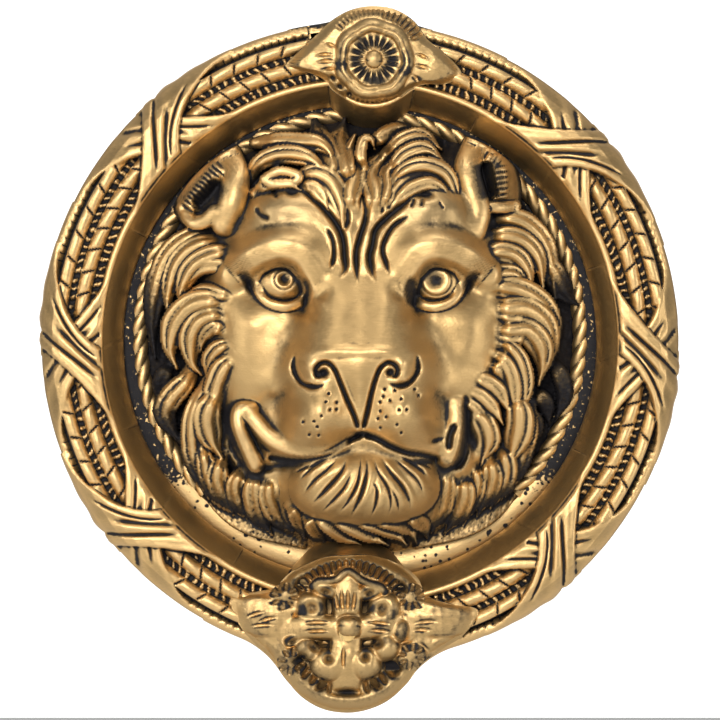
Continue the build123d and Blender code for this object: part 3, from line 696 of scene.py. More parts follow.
class Relief:
    """A height drawn over scattered points, built up form by form like a clay model."""

    def __init__(self, x, y, height):
        self.x = x
        self.y = y
        self.h = height
        self.dark = np.zeros(len(x))  # patina, from 0 to 1
        self.painted_shade = np.zeros(len(x))  # how much painted shade darkens the metal

    def around(self, points, reach):
        """Which points lie near a curve, and for each its signed distance and its place along it, 0 to 1."""
        curve = smooth_curve(points)
        low = curve.min(axis=0) - reach
        high = curve.max(axis=0) + reach
        box = (self.x > low[0]) & (self.x < high[0]) & (self.y > low[1]) & (self.y < high[1])
        index = np.nonzero(box)[0]
        dx = self.x[index, None] - curve[None, :, 0]
        dy = self.y[index, None] - curve[None, :, 1]
        squared = dx * dx + dy * dy
        nearest = squared.argmin(axis=1)
        distance = np.sqrt(squared[np.arange(len(index)), nearest])
        close = distance < reach
        index, nearest, distance = index[close], nearest[close], distance[close]
        ahead = np.gradient(curve, axis=0)[nearest]
        from_x = self.x[index] - curve[nearest, 0]
        from_y = self.y[index] - curve[nearest, 1]
        side = from_x * ahead[:, 1] - from_y * ahead[:, 0]
        return index, np.where(side < 0, -distance, distance), nearest / (len(curve) - 1)

    def mound(self, x, y, half_x, half_y, base, top, blend=4.0, lean=0.0, power=2.0):
        """A rounded mass that merges with what is there."""
        u, v = turned(self.x - x, self.y - y, lean)
        away = np.abs(u / half_x) ** power + np.abs(v / half_y) ** power
        inside = away < 1
        form = base + (top - base) * np.sqrt(1 - away[inside])
        self.h[inside] = smooth_max(self.h[inside], form, blend)

    def swell(self, x, y, half_x, half_y, amount, lean=0.0):
        """A soft rise, or with a negative amount a soft hollow."""
        u, v = turned(self.x - x, self.y - y, lean)
        self.h += amount * np.exp(-1.5 * ((u / half_x) ** 2 + (v / half_y) ** 2))

    def stain(self, x, y, half_x, half_y, amount=1.0, lean=0.0):
        """Patina left on a patch."""
        u, v = turned(self.x - x, self.y - y, lean)
        spot = amount * np.exp(-1.5 * ((u / half_x) ** 2 + (v / half_y) ** 2) ** 1.5)
        self.dark = np.maximum(self.dark, spot)

    def tone(self, x, y, half_x, half_y, amount, lean=0.0):
        """A patch of painted shade, where less light falls on the metal."""
        u, v = turned(self.x - x, self.y - y, lean)
        self.painted_shade = np.maximum(self.painted_shade, amount * np.exp(-1.2 * ((u / half_x) ** 2 + (v / half_y) ** 2)))

    def recess(self, x, y, half_x, half_y, depth, lean=0.0):
        """A soft hollow that the patina has filled."""
        self.swell(x, y, half_x, half_y, -depth, lean)
        self.stain(x, y, 0.9 * half_x, 0.9 * half_y, 1.15, lean)

    def groove(self, points, width, depth, fade=0.18, stain=0.5):
        """A cut line that fades out at both ends, with a little patina beside it."""
        index, off, along = self.around(points, width * 2.4)
        ends = smooth_step(0, fade, along) * smooth_step(1, 1 - fade, along)
        self.h[index] -= depth * ends * bump(off / (width * (0.7 + 0.7 * ends)))
        self.dark[index] = np.maximum(self.dark[index], stain * ends * bump(off / (2.4 * width)))

    def ridge(self, points, width, height, fade=0.25):
        """A raised line that fades out at both ends."""
        index, off, along = self.around(points, width * 1.5)
        ends = smooth_step(-0.01, fade, along) * smooth_step(1.01, 1 - fade, along)
        self.h[index] += height * ends * bump(off / (width * 1.5))

    def bar(self, points, half_width, tops, rise, blend=1.2, soft=0.8):
        """A rounded bar of stated height, such as an eyelid; beyond `soft` of its width it fades out."""
        index, off, along = self.around(points, half_width)
        levels = smooth_curve(list(enumerate(tops)), 0.05)
        top = np.interp(along * (len(tops) - 1), levels[:, 0], levels[:, 1])
        u = np.abs(off) / half_width
        form = top - rise + rise * np.sqrt(np.clip(1 - u**2, 0, 1))
        gain = smooth_max(self.h[index], form, blend) - self.h[index]
        self.h[index] += gain * smooth_step(1.0, soft, u)

    def lock(self, points, half_width, start, end, strands=2, rise=4.0):
        """A lock of hair: a band of rounded strands that grows out of the skin and ends in a point."""
        index, off, along = self.around(points, half_width)
        taper = (0.62 + 0.38 * smooth_step(0, 0.35, along)) * (1 - 0.88 * smooth_step(0.55, 1.02, along))
        u = off / (half_width * taper)
        inside = np.abs(u) < 1
        index, along, u = index[inside], along[inside], u[inside]
        top = start + (end - start) * smooth_step(0, 1, along) + 1.2 * np.sin(np.pi * along)
        top -= 4.5 * smooth_step(0.22, 0, along)
        form = top - rise + rise * np.sqrt(1 - u**2)
        shown = smooth_step(0.0, 0.22, along) * smooth_step(1.0, 0.7, along)
        sway = 0.12 * np.sin(3 * along + points[0][0])
        form -= 0.95 * shown * (0.5 - 0.5 * np.cos(np.pi * strands * (u + 1 + sway))) ** 2
        self.dark[index] *= smooth_step(0.6, -0.6, form - self.h[index])
        self.h[index] = smooth_max(self.h[index], form, 0.5 + 3.5 * smooth_step(0.3, 0, along))


# ---- the lion's head -----------------------------------------------------------------------
HEAD_REACH = 67.5  # the head's mesh runs a little under the rope and into the plate
HEAD_GRID = 316
HEAD_EDGE = 2.2  # height of its border, inside the plate
HEAD_WALL = 6.5
INSIDE_EDGE = 1.6  # lowest height of the hollow inside
COARSER = 9  # times, of the hollow's mesh
DRAWN_AT = 20.0  # height at which the drawing is true to size

# Landmarks of the head as x, y and height: first down the middle, then those of both sides.
MIDLINE = (
    (0, 62, 9), (0, 57, 15), (0, 51, 24), (0, 45, 31),
    (0, 39, 35.4), (0, 33, 37.4), (0, 27, 38), (0, 21, 38.8),
    (0, 16, 40.8), (0, 11, 43.2), (0, 6, 45.8), (0, 1, 48.2), (0, -3, 50.3), (0, -6.5, 51.8), (0, -10, 51.8),
    (0, -15, 50.4), (0, -20, 48.8), (0, -25, 47), (0, -28.5, 44), (0, -30.5, 40.5), (0, -34, 38.5),
    (0, -38, 39), (0, -43, 39), (0, -48, 38), (0, -53, 33), (0, -56.6, 24), (0, -60, 17), (0, -64, 9),
)
BOTH_SIDES = (
    # bridge and tip of the nose
    (9, 22, 39.5), (10, 16, 40.6), (12.5, 16, 37), (15, 15, 29.5), (11, 10, 43), (14, 10, 38.5), (18, 8, 32),
    (12, 4, 45.2), (15.5, 4, 41), (20, 3, 35.5), (13.5, -1, 47), (17.5, -2, 42.5), (22, -3, 36.5),
    (15, -5.5, 49), (19, -6.5, 44.5), (24, -8, 36.5), (9, -6, 51.2), (13.5, -9.5, 49.6), (18.5, -11, 44.5),
    # cheeks
    (27, 1, 34.2), (33, 4, 33.6), (37, 6, 31), (39, -1, 29.5), (33, -5, 33), (28, -10, 34.2), (35, -12, 30.5),
    (31, -17, 31.5), (26, -17, 35), (33, -24, 28.5), (29, -27, 30.5),
    # muzzle and mouth
    (6, -16, 48.4), (12, -17, 48.4), (17.5, -17, 46), (20.6, -17.6, 42.4), (22.8, -18, 36.5), (25, -19, 33),
    (5, -23, 47.0), (11, -24, 49.2), (16.4, -24, 47.4),
    (20.0, -25, 43.6), (22.8, -25.4, 36.0), (25.6, -25, 32.6),
    (5, -28.5, 44.8), (11, -29.4, 46.4), (16.6, -29.6, 44.8), (20.6, -30.6, 40), (23.4, -31, 35),
    (4, -31.5, 40), (10, -33.8, 40.6), (16, -35, 39), (22, -35.5, 34.4), (27, -34, 31), (28, -39, 26),
    # chin
    (7, -37, 38.8), (14, -38, 36.5), (20, -39, 31.5), (24, -40, 26), (8, -43, 39), (14, -44, 36.8),
    (19, -45, 32), (22.6, -46, 26), (27, -46, 21), (8, -48, 38), (14, -48.6, 35), (18.6, -49.6, 29),
    (21.6, -51, 22), (8, -52.6, 33), (14, -52, 30), (8, -56.4, 22), (15, -55.4, 20.5), (12, -62, 11),
    (22, -57, 14),
    # eye sockets and brows
    (23, 16, 28), (17.5, 13, 28), (17.6, 19, 32.4), (23, 21, 33.6), (28.6, 20, 32.2), (31, 15, 29),
    (28.6, 9, 32.2), (22, 7.6, 33.2), (17, 7.4, 32), (35, 16, 28.5), (12.4, 21, 40), (15, 26.4, 41),
    (21, 28.4, 41), (28, 26.8, 39), (33.4, 23.4, 35.4), (38.2, 19, 30), (20.6, 25.2, 40), (27, 24, 38),
    # forehead
    (14, 32.4, 38.6), (21, 33.4, 37.6), (28, 32.4, 35.8), (34, 28, 32.2), (14, 38, 37.6), (21, 39, 37.8),
    (28, 38, 35.4), (34, 34, 29.5), (8, 34, 37.6), (8, 41, 35.4),
    (15, 44, 33), (22, 45, 31.4), (29, 44, 27.5),
    (8, 47, 28.5), (16, 50, 24), (24, 51, 20), (8, 54, 19), (15, 57, 14),
    # temples and mane
    (39.6, 24, 26), (40.6, 14, 27), (41.4, 7, 27), (43.6, -4, 24), (42.4, -14, 23), (40.4, -24, 21.5),
    (37, -33, 21.5), (34, -42, 18.5), (29, -50, 15.5), (39.6, 34, 20), (34, 42, 21.5), (48, 22, 14.5),
    (49, 10, 15), (50, -2, 14), (49, -14, 13), (46, -28, 12.5), (42, -40, 11.5), (34, -51, 10.5),
)
MANE_RINGS = ((57, 8.5), (62, 5.5), (66.5, 2.2))  # radius and height towards the mane's edge
MANE_MARKS = 18  # landmarks round each of them
STIFFNESS = 2.0  # how far the skin may pass beside its landmarks


def disc_grid(count, reach):
    """Points of a square grid, eased on to a disc so that its border is round."""
    a, b = np.meshgrid(np.linspace(-1, 1, count), np.linspace(-1, 1, count), indexing="ij")
    wide = np.abs(a) > np.abs(b)
    safe_a = np.where(a == 0, 1, a)
    safe_b = np.where(b == 0, 1, b)
    radius = np.where(wide, a, b)
    angle = np.where(wide, math.pi / 4 * b / safe_a, math.pi / 2 - math.pi / 4 * a / safe_b)
    return (reach * radius * np.cos(angle)).ravel(), (reach * radius * np.sin(angle)).ravel()


def landmarks():
    """All points that the skin is stretched over."""
    marks = list(MIDLINE)
    for x, y, height in BOTH_SIDES:
        marks += [(x, y, height), (-x, y, height)]
    for radius, height in MANE_RINGS:
        for step in range(MANE_MARKS):
            angle = 2 * math.pi * step / MANE_MARKS
            x, y = radius * math.sin(angle), radius * math.cos(angle)
            if abs(x) > 26 or radius > 63:
                marks.append((x, y, height))
    return marks


def draped(x, y, marks):
    """The height of a smooth skin stretched over landmarks: a thin-plate spline."""
    at = np.array(marks, dtype=float)

    def pull(px, py):
        squared = (px[:, None] - at[:, 0]) ** 2 + (py[:, None] - at[:, 1]) ** 2
        return squared * np.log(squared + 1e-9)

    flat = np.column_stack([np.ones(len(at)), at[:, :2]])
    size = len(at)
    system = np.zeros((size + 3, size + 3))
    system[:size, :size] = pull(at[:, 0], at[:, 1]) + STIFFNESS * np.eye(size)
    system[:size, size:] = flat
    system[size:, :size] = flat.T
    weights = np.linalg.solve(system, np.append(at[:, 2], (0, 0, 0)))
    level, slope_x, slope_y = weights[size:]
    return pull(x, y) @ weights[:size] + level + slope_x * x + slope_y * y


UPPER_LID = ((7.8, -0.4), (6.2, 3.2), (2.2, 5.3), (-1.8, 5.4), (-5.3, 2.6), (-7.6, -2.0))
LOWER_LID = ((7.2, -1.4), (5.6, -4.4), (2.8, -6.6), (-1.4, -7.5), (-5.4, -6.4), (-8.2, -3.4))
INNER_CORNER = ((-6.2, 2.0), (-8.2, -2.4), (-6.8, -8.6))
OUTER_CORNER = ((14, 2.6), (10.2, 0.8), (8.2, -4.6))


def eye(r, x, y, iris, iris_size, pupil_size, corner):
    """An eyeball with its lids and corners; `corner` is how deep and dark the inner corner is."""
    side = 1 if x > 0 else -1

    def beside(points, rise=0):
        return [(x + side * out, y + up + rise) for out, up in points]

    r.mound(x, y - 0.3, 8.0, 7.0, 26.5, 35.0, 0.8)
    away = np.hypot(r.x - iris[0], r.y - iris[1])
    r.h -= 0.45 * bump((away - iris_size) / 0.7)
    r.h -= 2.0 * bump(away / (1.7 * pupil_size))
    r.h += 0.8 * bump(np.hypot(r.x - iris[0] - 0.5, r.y - iris[1] - 0.6) / 0.9)
    r.stain(iris[0], iris[1], 0.95 * pupil_size, 0.95 * pupil_size, 0.9 + 0.4 * corner)
    r.bar(beside(UPPER_LID), 1.5, (31.5, 35.6, 36.6, 36.6, 35.4, 31), 1.5, 1.5)
    r.bar(beside(LOWER_LID), 1.7, (32, 33.8, 34.6, 34.6, 33.6, 31), 1.5, 2.4)
    r.groove(beside(LOWER_LID[1:5], 1.7), 0.6, 0.6, 0.2)
    r.groove(beside(UPPER_LID[1:5], -1.5), 0.6, 0.6, 0.2)
    r.groove(beside(INNER_CORNER), 1.0 + 0.7 * corner, 2.4, 0.25, 0.6 + 0.5 * corner)
    r.groove(beside(OUTER_CORNER), 1.3, 2.4, 0.35, 0.9)


BROW = ((38.4, 18.2), (33, 22.6), (28, 25.2), (22.4, 26.2), (17.6, 24.4), (14.6, 20.4), (12.6, 15.4))
BROW_HEIGHTS = (31, 37.8, 41.2, 42.6, 42.8, 42.0, 40.4)
FURROWS = (
    # points, width, depth
    ([(-10.2, 32.5), (-8.2, 28.5), (-7.8, 24), (-8.8, 19.6)], 0.75, 1.7),
    ([(-19.5, 44.6), (-14.4, 41.4), (-10.4, 37.4), (-7, 33), (-5.3, 29), (-4.7, 24), (-4.4, 20),
      (-6.4, 16.6)], 1.15, 2.8),
    ([(-10, 41.4), (-6.6, 41), (-4.2, 38.2), (-3.6, 34.6), (-5.0, 30.6)], 0.8, 1.8),
    ([(1.8, 50.5), (0.8, 46), (1.4, 42), (2.2, 38), (1.4, 33.6), (0, 29), (-1.2, 24), (-0.7, 15)], 0.95, 2.6),
    ([(17, 42), (12.4, 38.8), (8.2, 35.2), (4.8, 31.4), (3.8, 27), (2.9, 22.6), (4.6, 15.6)], 1.2, 3.0),
    ([(15, 36), (10, 32.6), (7.4, 28.4), (6.7, 25), (8, 21), (8.8, 17.8)], 0.8, 1.9),
    ([(7.4, 43.4), (6.4, 39.6), (6.8, 36)], 0.7, 1.4),
    ([(12.4, 43.6), (9.8, 40.4), (8.2, 37)], 0.8, 1.6),
    ([(16.4, 41), (15.2, 38.2)], 0.6, 1.1),
    ([(18.8, 41), (18.4, 38.4)], 0.6, 1.0),
    ([(23.6, 40), (25.2, 37.6)], 0.5, 0.7),
    ([(-25.8, 44.8), (-25.6, 42.8), (-24.6, 41)], 0.8, 1.5),
    ([(-31.2, 38.6), (-30, 36.2), (-27, 34.8)], 0.75, 1.6),
)
FURROW_RIDGES = (
    [(-12.6, 36), (-8.6, 31), (-6.6, 26), (-6.4, 21)],
    [(-4.6, 36), (-3, 30), (-2.6, 24), (-2.8, 18)],
    [(4, 36), (2, 30), (1.2, 24), (1.6, 17)],
    [(8.8, 34), (5.8, 30), (5, 25), (6, 19)],
)


def brows_and_forehead(r):
    """The brows' arches and the furrows that rise between them."""
    for side in (-1, 1):
        r.bar([(side * x, y) for x, y in BROW], 7.6, BROW_HEIGHTS, 5.0, 3.0, 0.25)
        # painted shade on the forehead above each brow, under the tufts of hair
        r.tone(side * 22, 36, 13, 8, 0.9)
    for points, width, depth in FURROWS:
        r.groove(points, width, depth, 0.2)
    for points in FURROW_RIDGES:
        r.ridge(points, 1.9, 1.3, 0.35)


NOSTRILS = (
    # from the lip up beside the septum and curled in at the end
    [(-0.4, -28.6), (-1.8, -24), (-3.8, -19.5), (-5.8, -14.5), (-7.6, -10.4), (-9.6, -8.4), (-11.8, -8.5),
     (-13.3, -10.2), (-12.9, -12.2), (-11.2, -12.8)],
    [(0.8, -28.6), (2.2, -23), (3.3, -18), (4.7, -13), (6.2, -9.8), (8.4, -8.3), (10.4, -8.9),
     (11.4, -10.6), (10.8, -12.2), (9.2, -12.6)],
)
NOSE_WINGS = (
    [(-19.4, -5), (-19.8, -10), (-17.6, -14.2), (-13.6, -15.6), (-10.2, -14.6)],
    [(17.0, -5), (17.2, -10.6), (14.6, -14.4), (11, -15.2), (8.2, -14.0)],
)


def nose(r):
    """The curled nostrils, the wings beside them and the upper edge of the nose."""
    for spiral in NOSTRILS:
        r.groove(spiral, 0.8, 2.6, 0.06, 0.2)
    r.recess(-11.2, -11.4, 2.0, 1.7, 3.4)
    r.recess(9.2, -11.2, 1.7, 1.5, 2.8)
    for wing in NOSE_WINGS:
        r.groove(wing, 0.9, 3.0, 0.3, 0.2)
    for at_x, at_y in ((-15.4, -9.2), (-14.2, -12.6), (13.2, -8.8), (12.4, -12.2)):
        r.swell(at_x, at_y, 2.8, 2.6, 1.5)
    r.ridge([(-16, -6.4), (-10, -5.0), (0, -4.6), (8, -5.0), (14, -6.4)], 1.6, 0.8)
    r.ridge([(-7.4, -9.4), (-5.4, -14), (-2.6, -21), (-0.6, -26)], 1.0, 0.5)
    r.ridge([(6.2, -9.4), (4.2, -14), (2.4, -21), (0.8, -26)], 1.0, 0.5)
    for side in (-1, 1):
        # painted shade on the steep sides of the nose's bridge
        r.tone(side * 18.4, 4.5, 3.4, 7.5, 0.35, side * -14)


MOUTH_LEFT = [(1, -29.8), (-2.6, -31.2), (-6, -33.2), (-10.4, -35.6), (-16, -37), (-22, -37.2), (-28, -36.6)]
MOUTH_RIGHT = [(1, -29.8), (5, -31), (9, -33.2), (14, -35.2), (19, -36), (24, -37.4), (28, -39.6)]
LIP_FOLD = [(-6, -32.4), (-11, -34.0), (-17, -34.4), (-23, -33.0), (-27.6, -30.2), (-31, -26.6), (-34, -23.0)]
LIP_END = [(-32.6, -22.4), (-35.8, -22.6), (-36.4, -26), (-35, -30.4), (-33, -35), (-31.2, -38.8)]
RIGHT_FLAP = [(29.0, -21), (28.8, -26), (27.8, -31.4), (26, -36.8)]
PORES = (
    (-9.4, -17.6), (-10.2, -20), (-7.0, -20.2), (-9.0, -22.4), (-7.1, -22.3), (-11.6, -24.3), (-13.8, -25.9),
    (-12.8, -27.5), (-17, -26), (-15.2, -29.8), (-12.4, -30), (7.4, -16.2), (7.0, -18.4), (6, -20.1),
    (9, -19.7), (12.4, -19.2), (16.4, -16.3), (17.5, -18.1), (6.1, -22.9), (11.8, -22.5), (14, -22.4),
    (7.9, -24.6), (5.4, -25), (11.1, -26.8), (6.1, -27.8), (12.4, -29.2), (10.5, -16.6),
)


def muzzle(r):
    """Its two pads and the line of the mouth."""
    for side in (-1, 1):
        r.swell(side * 12.0, -23.0, 8.4, 9.4, 3.4)
        r.swell(side * 2.6, -21.0, 3.0, 7.0, -1.5)
    r.groove(MOUTH_LEFT, 1.0, 3.2, 0.05)
    r.groove(MOUTH_RIGHT, 1.0, 3.0, 0.05)
    r.recess(0.4, -29.8, 3.2, 1.3, 2.5)
    r.recess(-21.5, -38.6, 6.5, 1.8, 3.4)
    r.recess(19, -38.0, 5.5, 1.4, 2.0)


def left_lip(r):
    """The folded lip and its hanging end."""
    r.bar(LIP_FOLD, 3.9, (40.4, 40.6, 39.4, 37.4, 35.6, 34.2, 33.2), 4.0, 2.4, 0.4)
    r.bar(LIP_END, 3.0, (32.8, 33.4, 33.6, 33.2, 32.8, 31.6), 4.0, 1.8, 0.6)
    # painted shade over the hanging end of the lip
    r.tone(-34.4, -31, 3.6, 9.0, 0.5, 18)
    r.groove([(-34.6, -26), (-33.0, -29.6), (-31.2, -33), (-29.6, -35.6)], 0.7, 1.5)
    r.groove([(-39.4, -30), (-38.2, -34), (-36, -38), (-34, -41.4)], 1.1, 2.4, 0.3, 0.7)
    r.recess(-28.2, -40, 2.6, 1.6, 2.6)
    # painted shade in the hollow between the lip fold and the muzzle pad
    r.tone(-26, -25, 4.5, 6.5, 0.55, 20)


def right_lip(r):
    """The flap at the corner of the mouth."""
    r.bar(RIGHT_FLAP, 3.8, (32.6, 33.8, 34.0, 32.6), 4.0, 2.0, 0.5)
    # painted shade over the flap beside the muzzle pad
    r.tone(26, -26, 4.0, 10.0, 0.6)
    r.groove([(28.8, -26.2), (27.0, -30.4), (26.6, -35)], 1.0, 2.0, 0.18, 0.9)
    r.recess(22.8, -31.6, 1.9, 1.0, 2.2, -20)
    r.groove([(31.6, -17), (32.2, -25), (31.8, -32.6), (30, -38.4), (25, -40.6)], 1.3, 3.4, 0.18, 1.0)
    r.recess(33.6, -31.6, 2.2, 5.0, 4.6, -8)


def pores(r):
    """The whiskers' roots."""
    for x, y in PORES:
        r.h -= 1.1 * bump(np.hypot(r.x - x, r.y - y) / 0.75)


CHIN_FURROWS = (
    [(-9.0, -36.6), (-12.4, -38.4), (-15.4, -40.8), (-18.4, -43.8)],
    [(-13.0, -38.4), (-16.6, -40.0), (-20.6, -41.8)],
    [(-6.6, -37), (-10, -40.6), (-14, -44), (-17.6, -48.6)],
    [(-3.8, -36.5), (-5.6, -41.2), (-10.3, -46.6), (-15.4, -51.5)],
    [(-2.4, -41), (-4.8, -46), (-9.0, -50.6), (-12.6, -54)],
    [(0.2, -35.6), (0.0, -40), (-0.9, -45), (-3.6, -50), (-7.6, -54.6)],
    [(1.8, -36), (2.0, -41), (0.6, -47), (-1.6, -52), (-3.6, -56)],
    [(3.0, -43), (5.0, -46.4), (4.6, -51), (2.6, -55.6)],
    [(3.8, -36.4), (5.4, -41), (8.4, -46), (9.2, -51), (7.8, -55.6)],
    [(6.1, -36.5), (9, -41), (12.6, -45.4), (14.8, -50.0), (14.8, -53.8)],
    [(8.4, -44.6), (11.0, -49.4), (11.6, -54)],
    [(9.4, -36.6), (13.4, -40), (17.4, -44), (19.4, -48.8)],
    [(11.8, -36.2), (16.9, -39.4), (21.0, -43.2)],
    [(15, -37.4), (19, -39.0), (22.8, -40.8)],
)

LOCKS = (
    # left of the face, from the ear down: points, half width, height at the root and at the tip
    ([(-41, 31.5), (-50, 29.8), (-57, 24), (-61, 14), (-62.4, 3), (-61.4, -7)], 2.7, 22, 12),
    ([(-40, 28), (-48, 26.8), (-54, 22), (-57.4, 13), (-57.6, 5)], 2.6, 25, 17),
    ([(-37, 24.6), (-44, 24), (-50, 20.6), (-53.4, 14), (-54, 8)], 2.6, 28, 20),
    ([(-37, 19.6), (-43, 21), (-48.4, 20), (-52, 16), (-52.6, 11.6)], 1.9, 29, 21),
    ([(-38, 11), (-43, 12.8), (-48, 13.6), (-52.4, 12.4)], 1.6, 30, 22),
    ([(-39, 7.6), (-45, 9.6), (-51, 8), (-55.4, 3), (-57, -4), (-55, -10)], 3.3, 30, 18),
    ([(-39, 3.6), (-44, 5.4), (-48.4, 3.6), (-50.8, -1), (-50.4, -8), (-47.6, -12)], 2.7, 30, 20),
    ([(-40, 0.6), (-44, 2.2), (-47, -0.4), (-47.8, -5)], 1.8, 30, 22),
    ([(-38, -3), (-42, -4), (-45, -7.4), (-46, -13)], 2.1, 30, 22),
    ([(-36, -7), (-40, -9), (-42.4, -14), (-43.4, -20), (-44, -27)], 2.9, 30, 21),
    ([(-50, -9), (-52.4, -14), (-56.4, -18.4), (-58.6, -23), (-56.6, -28), (-53, -33)], 2.7, 22, 12),
    ([(-57, -9), (-59.6, -14), (-60.8, -20)], 1.9, 16, 9),
    ([(-45.4, -14), (-49, -21), (-50.4, -28), (-50, -36), (-48, -43), (-43.6, -50.6)], 2.5, 26, 12),
    ([(-43, -17), (-46, -24), (-44.6, -31), (-41.4, -37)], 3.2, 28, 19),
    ([(-47.4, -32), (-46.4, -38), (-44.4, -45), (-41, -51), (-37.6, -54)], 2.3, 21, 11),
    ([(-41.6, -36), (-42.8, -43), (-40.4, -49), (-38, -54)], 2.6, 22, 12),
    ([(-34, -40), (-37, -44.6), (-36, -50.6), (-32.6, -57)], 2.4, 22, 11),
    ([(-31, -41), (-31.2, -48), (-29.4, -55), (-26.4, -60)], 3.0, 24, 12),
    ([(-26.6, -42), (-27, -49), (-24, -55.4), (-20, -59)], 2.6, 26, 13),
    ([(-21, -51), (-18, -55), (-16.4, -61)], 2.2, 27, 13),
    # under the chin
    ([(-13.6, -54), (-9, -57.4), (-4, -60.8), (0.4, -63)], 1.9, 30, 16),
    ([(-8.4, -55), (-2, -57.8), (4, -60.8), (8.4, -63)], 1.9, 31, 17),
    ([(-2, -55.6), (5, -57), (11, -60), (14, -63)], 1.9, 31, 17),
    ([(4, -56), (10, -56.2), (15, -58.6), (17, -62.4)], 1.9, 31, 16),
    ([(-16, -54.6), (-13.4, -58.4), (-10.4, -62)], 1.7, 28, 14),
    ([(14, -54.6), (18.4, -56.6), (20.4, -61)], 1.8, 28, 14),
    # right of the face, from the chin up
    ([(26, -40), (25.4, -46), (24.4, -52), (21.4, -59)], 2.6, 26, 13),
    ([(31, -42), (31, -48), (28.6, -54), (25.4, -59.6)], 2.8, 24, 12),
    ([(33, -38), (35, -44), (33.6, -50), (31, -57)], 2.3, 22, 12),
    ([(38, -36), (39.6, -42), (38, -48), (35, -54.6)], 2.5, 23, 12),
    ([(42, -33), (44, -39), (43, -45), (39, -52)], 2.5, 22, 12),
    ([(51, -20), (50.6, -28), (48.8, -35), (46.6, -42), (42, -49)], 2.3, 21, 12),
    ([(46.6, -17), (48, -26), (46.6, -33), (44, -40)], 3.2, 27, 19),
    ([(32.6, -22), (37, -26.4), (38.6, -32), (36.4, -39)], 2.8, 28, 20),
    ([(31, -19.4), (35, -22), (38.6, -27)], 1.5, 30, 25),
    ([(31, -15.6), (36, -17.8), (40, -21.8), (43, -27)], 1.7, 31, 25),
    ([(33, -12), (38, -13.8), (42, -17), (45, -24)], 1.9, 31, 25),
    ([(39, -9), (42.6, -11), (44.4, -16)], 1.6, 31, 26),
    ([(39, -5), (43, -7.4), (45.6, -12), (46.6, -18), (46.6, -26)], 1.8, 31, 24),
    ([(40, -2), (45, -4), (48.4, -9), (49.6, -16), (48.8, -25)], 2.2, 30, 22),
    ([(39, 2.6), (44, 1), (50, 1), (54, -3.4), (54.8, -9), (53.6, -15)], 3.1, 30, 18),
    ([(38, 8.6), (44, 7.6), (50, 7), (55, 3), (57.6, -3), (57, -9)], 3.3, 30, 17),
    ([(36, 12.6), (42, 14.6), (49, 13), (54.6, 9), (58.4, 3), (59.4, -5)], 2.9, 30, 15),
    ([(35, 16.4), (41, 18.4), (47, 18), (50.6, 13)], 2.3, 30, 23),
    ([(36, 24), (42, 25), (47, 23.4), (50.6, 18), (51, 13)], 2.4, 29, 22),
    ([(37, 28.6), (43, 29.4), (49, 27.6), (53.4, 22), (55, 14)], 2.6, 27, 20),
    ([(37.4, 33), (43, 34.8), (49.4, 33), (54.4, 27.6), (57.4, 19), (58.6, 11)], 2.9, 24, 15),
    ([(56, 24), (59.4, 16), (62.4, 11.4), (66, 8.6)], 2.7, 18, 10),
    ([(52, -17), (55.4, -20), (56.8, -27)], 1.9, 17, 9),
    ([(57, -8), (60, -12), (61.4, -18), (58.6, -26)], 2.0, 16, 9),
    ([(51, -22), (52.6, -27), (50.2, -34)], 1.8, 17, 10),
    # between the ears
    ([(-31.4, 57.6), (-25, 58), (-18, 57.6), (-12, 57), (-8.8, 54), (-9.6, 50)], 2.3, 22, 31),
    ([(-33, 46.6), (-30.4, 51.4), (-24.4, 54), (-17, 53.4), (-12, 50.6), (-9, 46.6)], 2.2, 27, 34),
    ([(-19.4, 45.4), (-15, 48.2), (-10.4, 47), (-7.4, 43.4), (-5.8, 38), (-5.2, 32)], 2.6, 34, 38),
    ([(-18.4, 43.6), (-14.4, 44.4), (-11.4, 41.4), (-9.6, 37.4)], 1.9, 35, 37),
    ([(-7.4, 46), (-9.0, 52), (-11.4, 57.4), (-14.2, 66.4)], 2.9, 36, 13),
    ([(-3.0, 46), (-5.6, 52), (-6.2, 58), (-4.6, 65)], 3.0, 37, 14),
    ([(-2.4, 36), (-3.6, 42), (-2.4, 48), (-3.8, 54), (-1.6, 60)], 3.2, 40, 22),
    ([(3.6, 36), (4.6, 42), (3.4, 48), (6.6, 53), (8.4, 58)], 2.8, 40, 20),
    ([(1.6, 50), (0.2, 54), (1.2, 58.4), (3.2, 58.6), (4.4, 55.6)], 1.3, 33, 27),
    ([(6.4, 38), (8.6, 43.6), (8.4, 49), (11, 53)], 2.2, 39, 27),
    ([(7, 36), (10, 41), (13.4, 45), (18, 46.8), (22, 44.4)], 1.8, 37, 32),
    ([(10, 37.6), (12.6, 41.6), (16, 44.2), (21, 45.4), (25.4, 43), (27.6, 38.4)], 1.7, 38, 32),
    ([(-32, 42.6), (-28, 45.0), (-22.4, 45.6), (-17.6, 43.4)], 1.6, 32, 35),
    ([(9, 43.6), (13, 48.8), (19, 50.6), (25, 48.6), (28.2, 43), (30, 35)], 2.2, 35, 29),
    ([(8.6, 48.6), (14, 53.8), (20, 55.4), (25.4, 51.6)], 2.3, 33, 26),
    ([(7.6, 53.6), (13, 58), (19, 59.4), (24.4, 55.6)], 2.2, 28, 19),
    ([(3, 57), (8, 60.4), (13, 61.8), (18.4, 61.6)], 1.9, 24, 13),
)


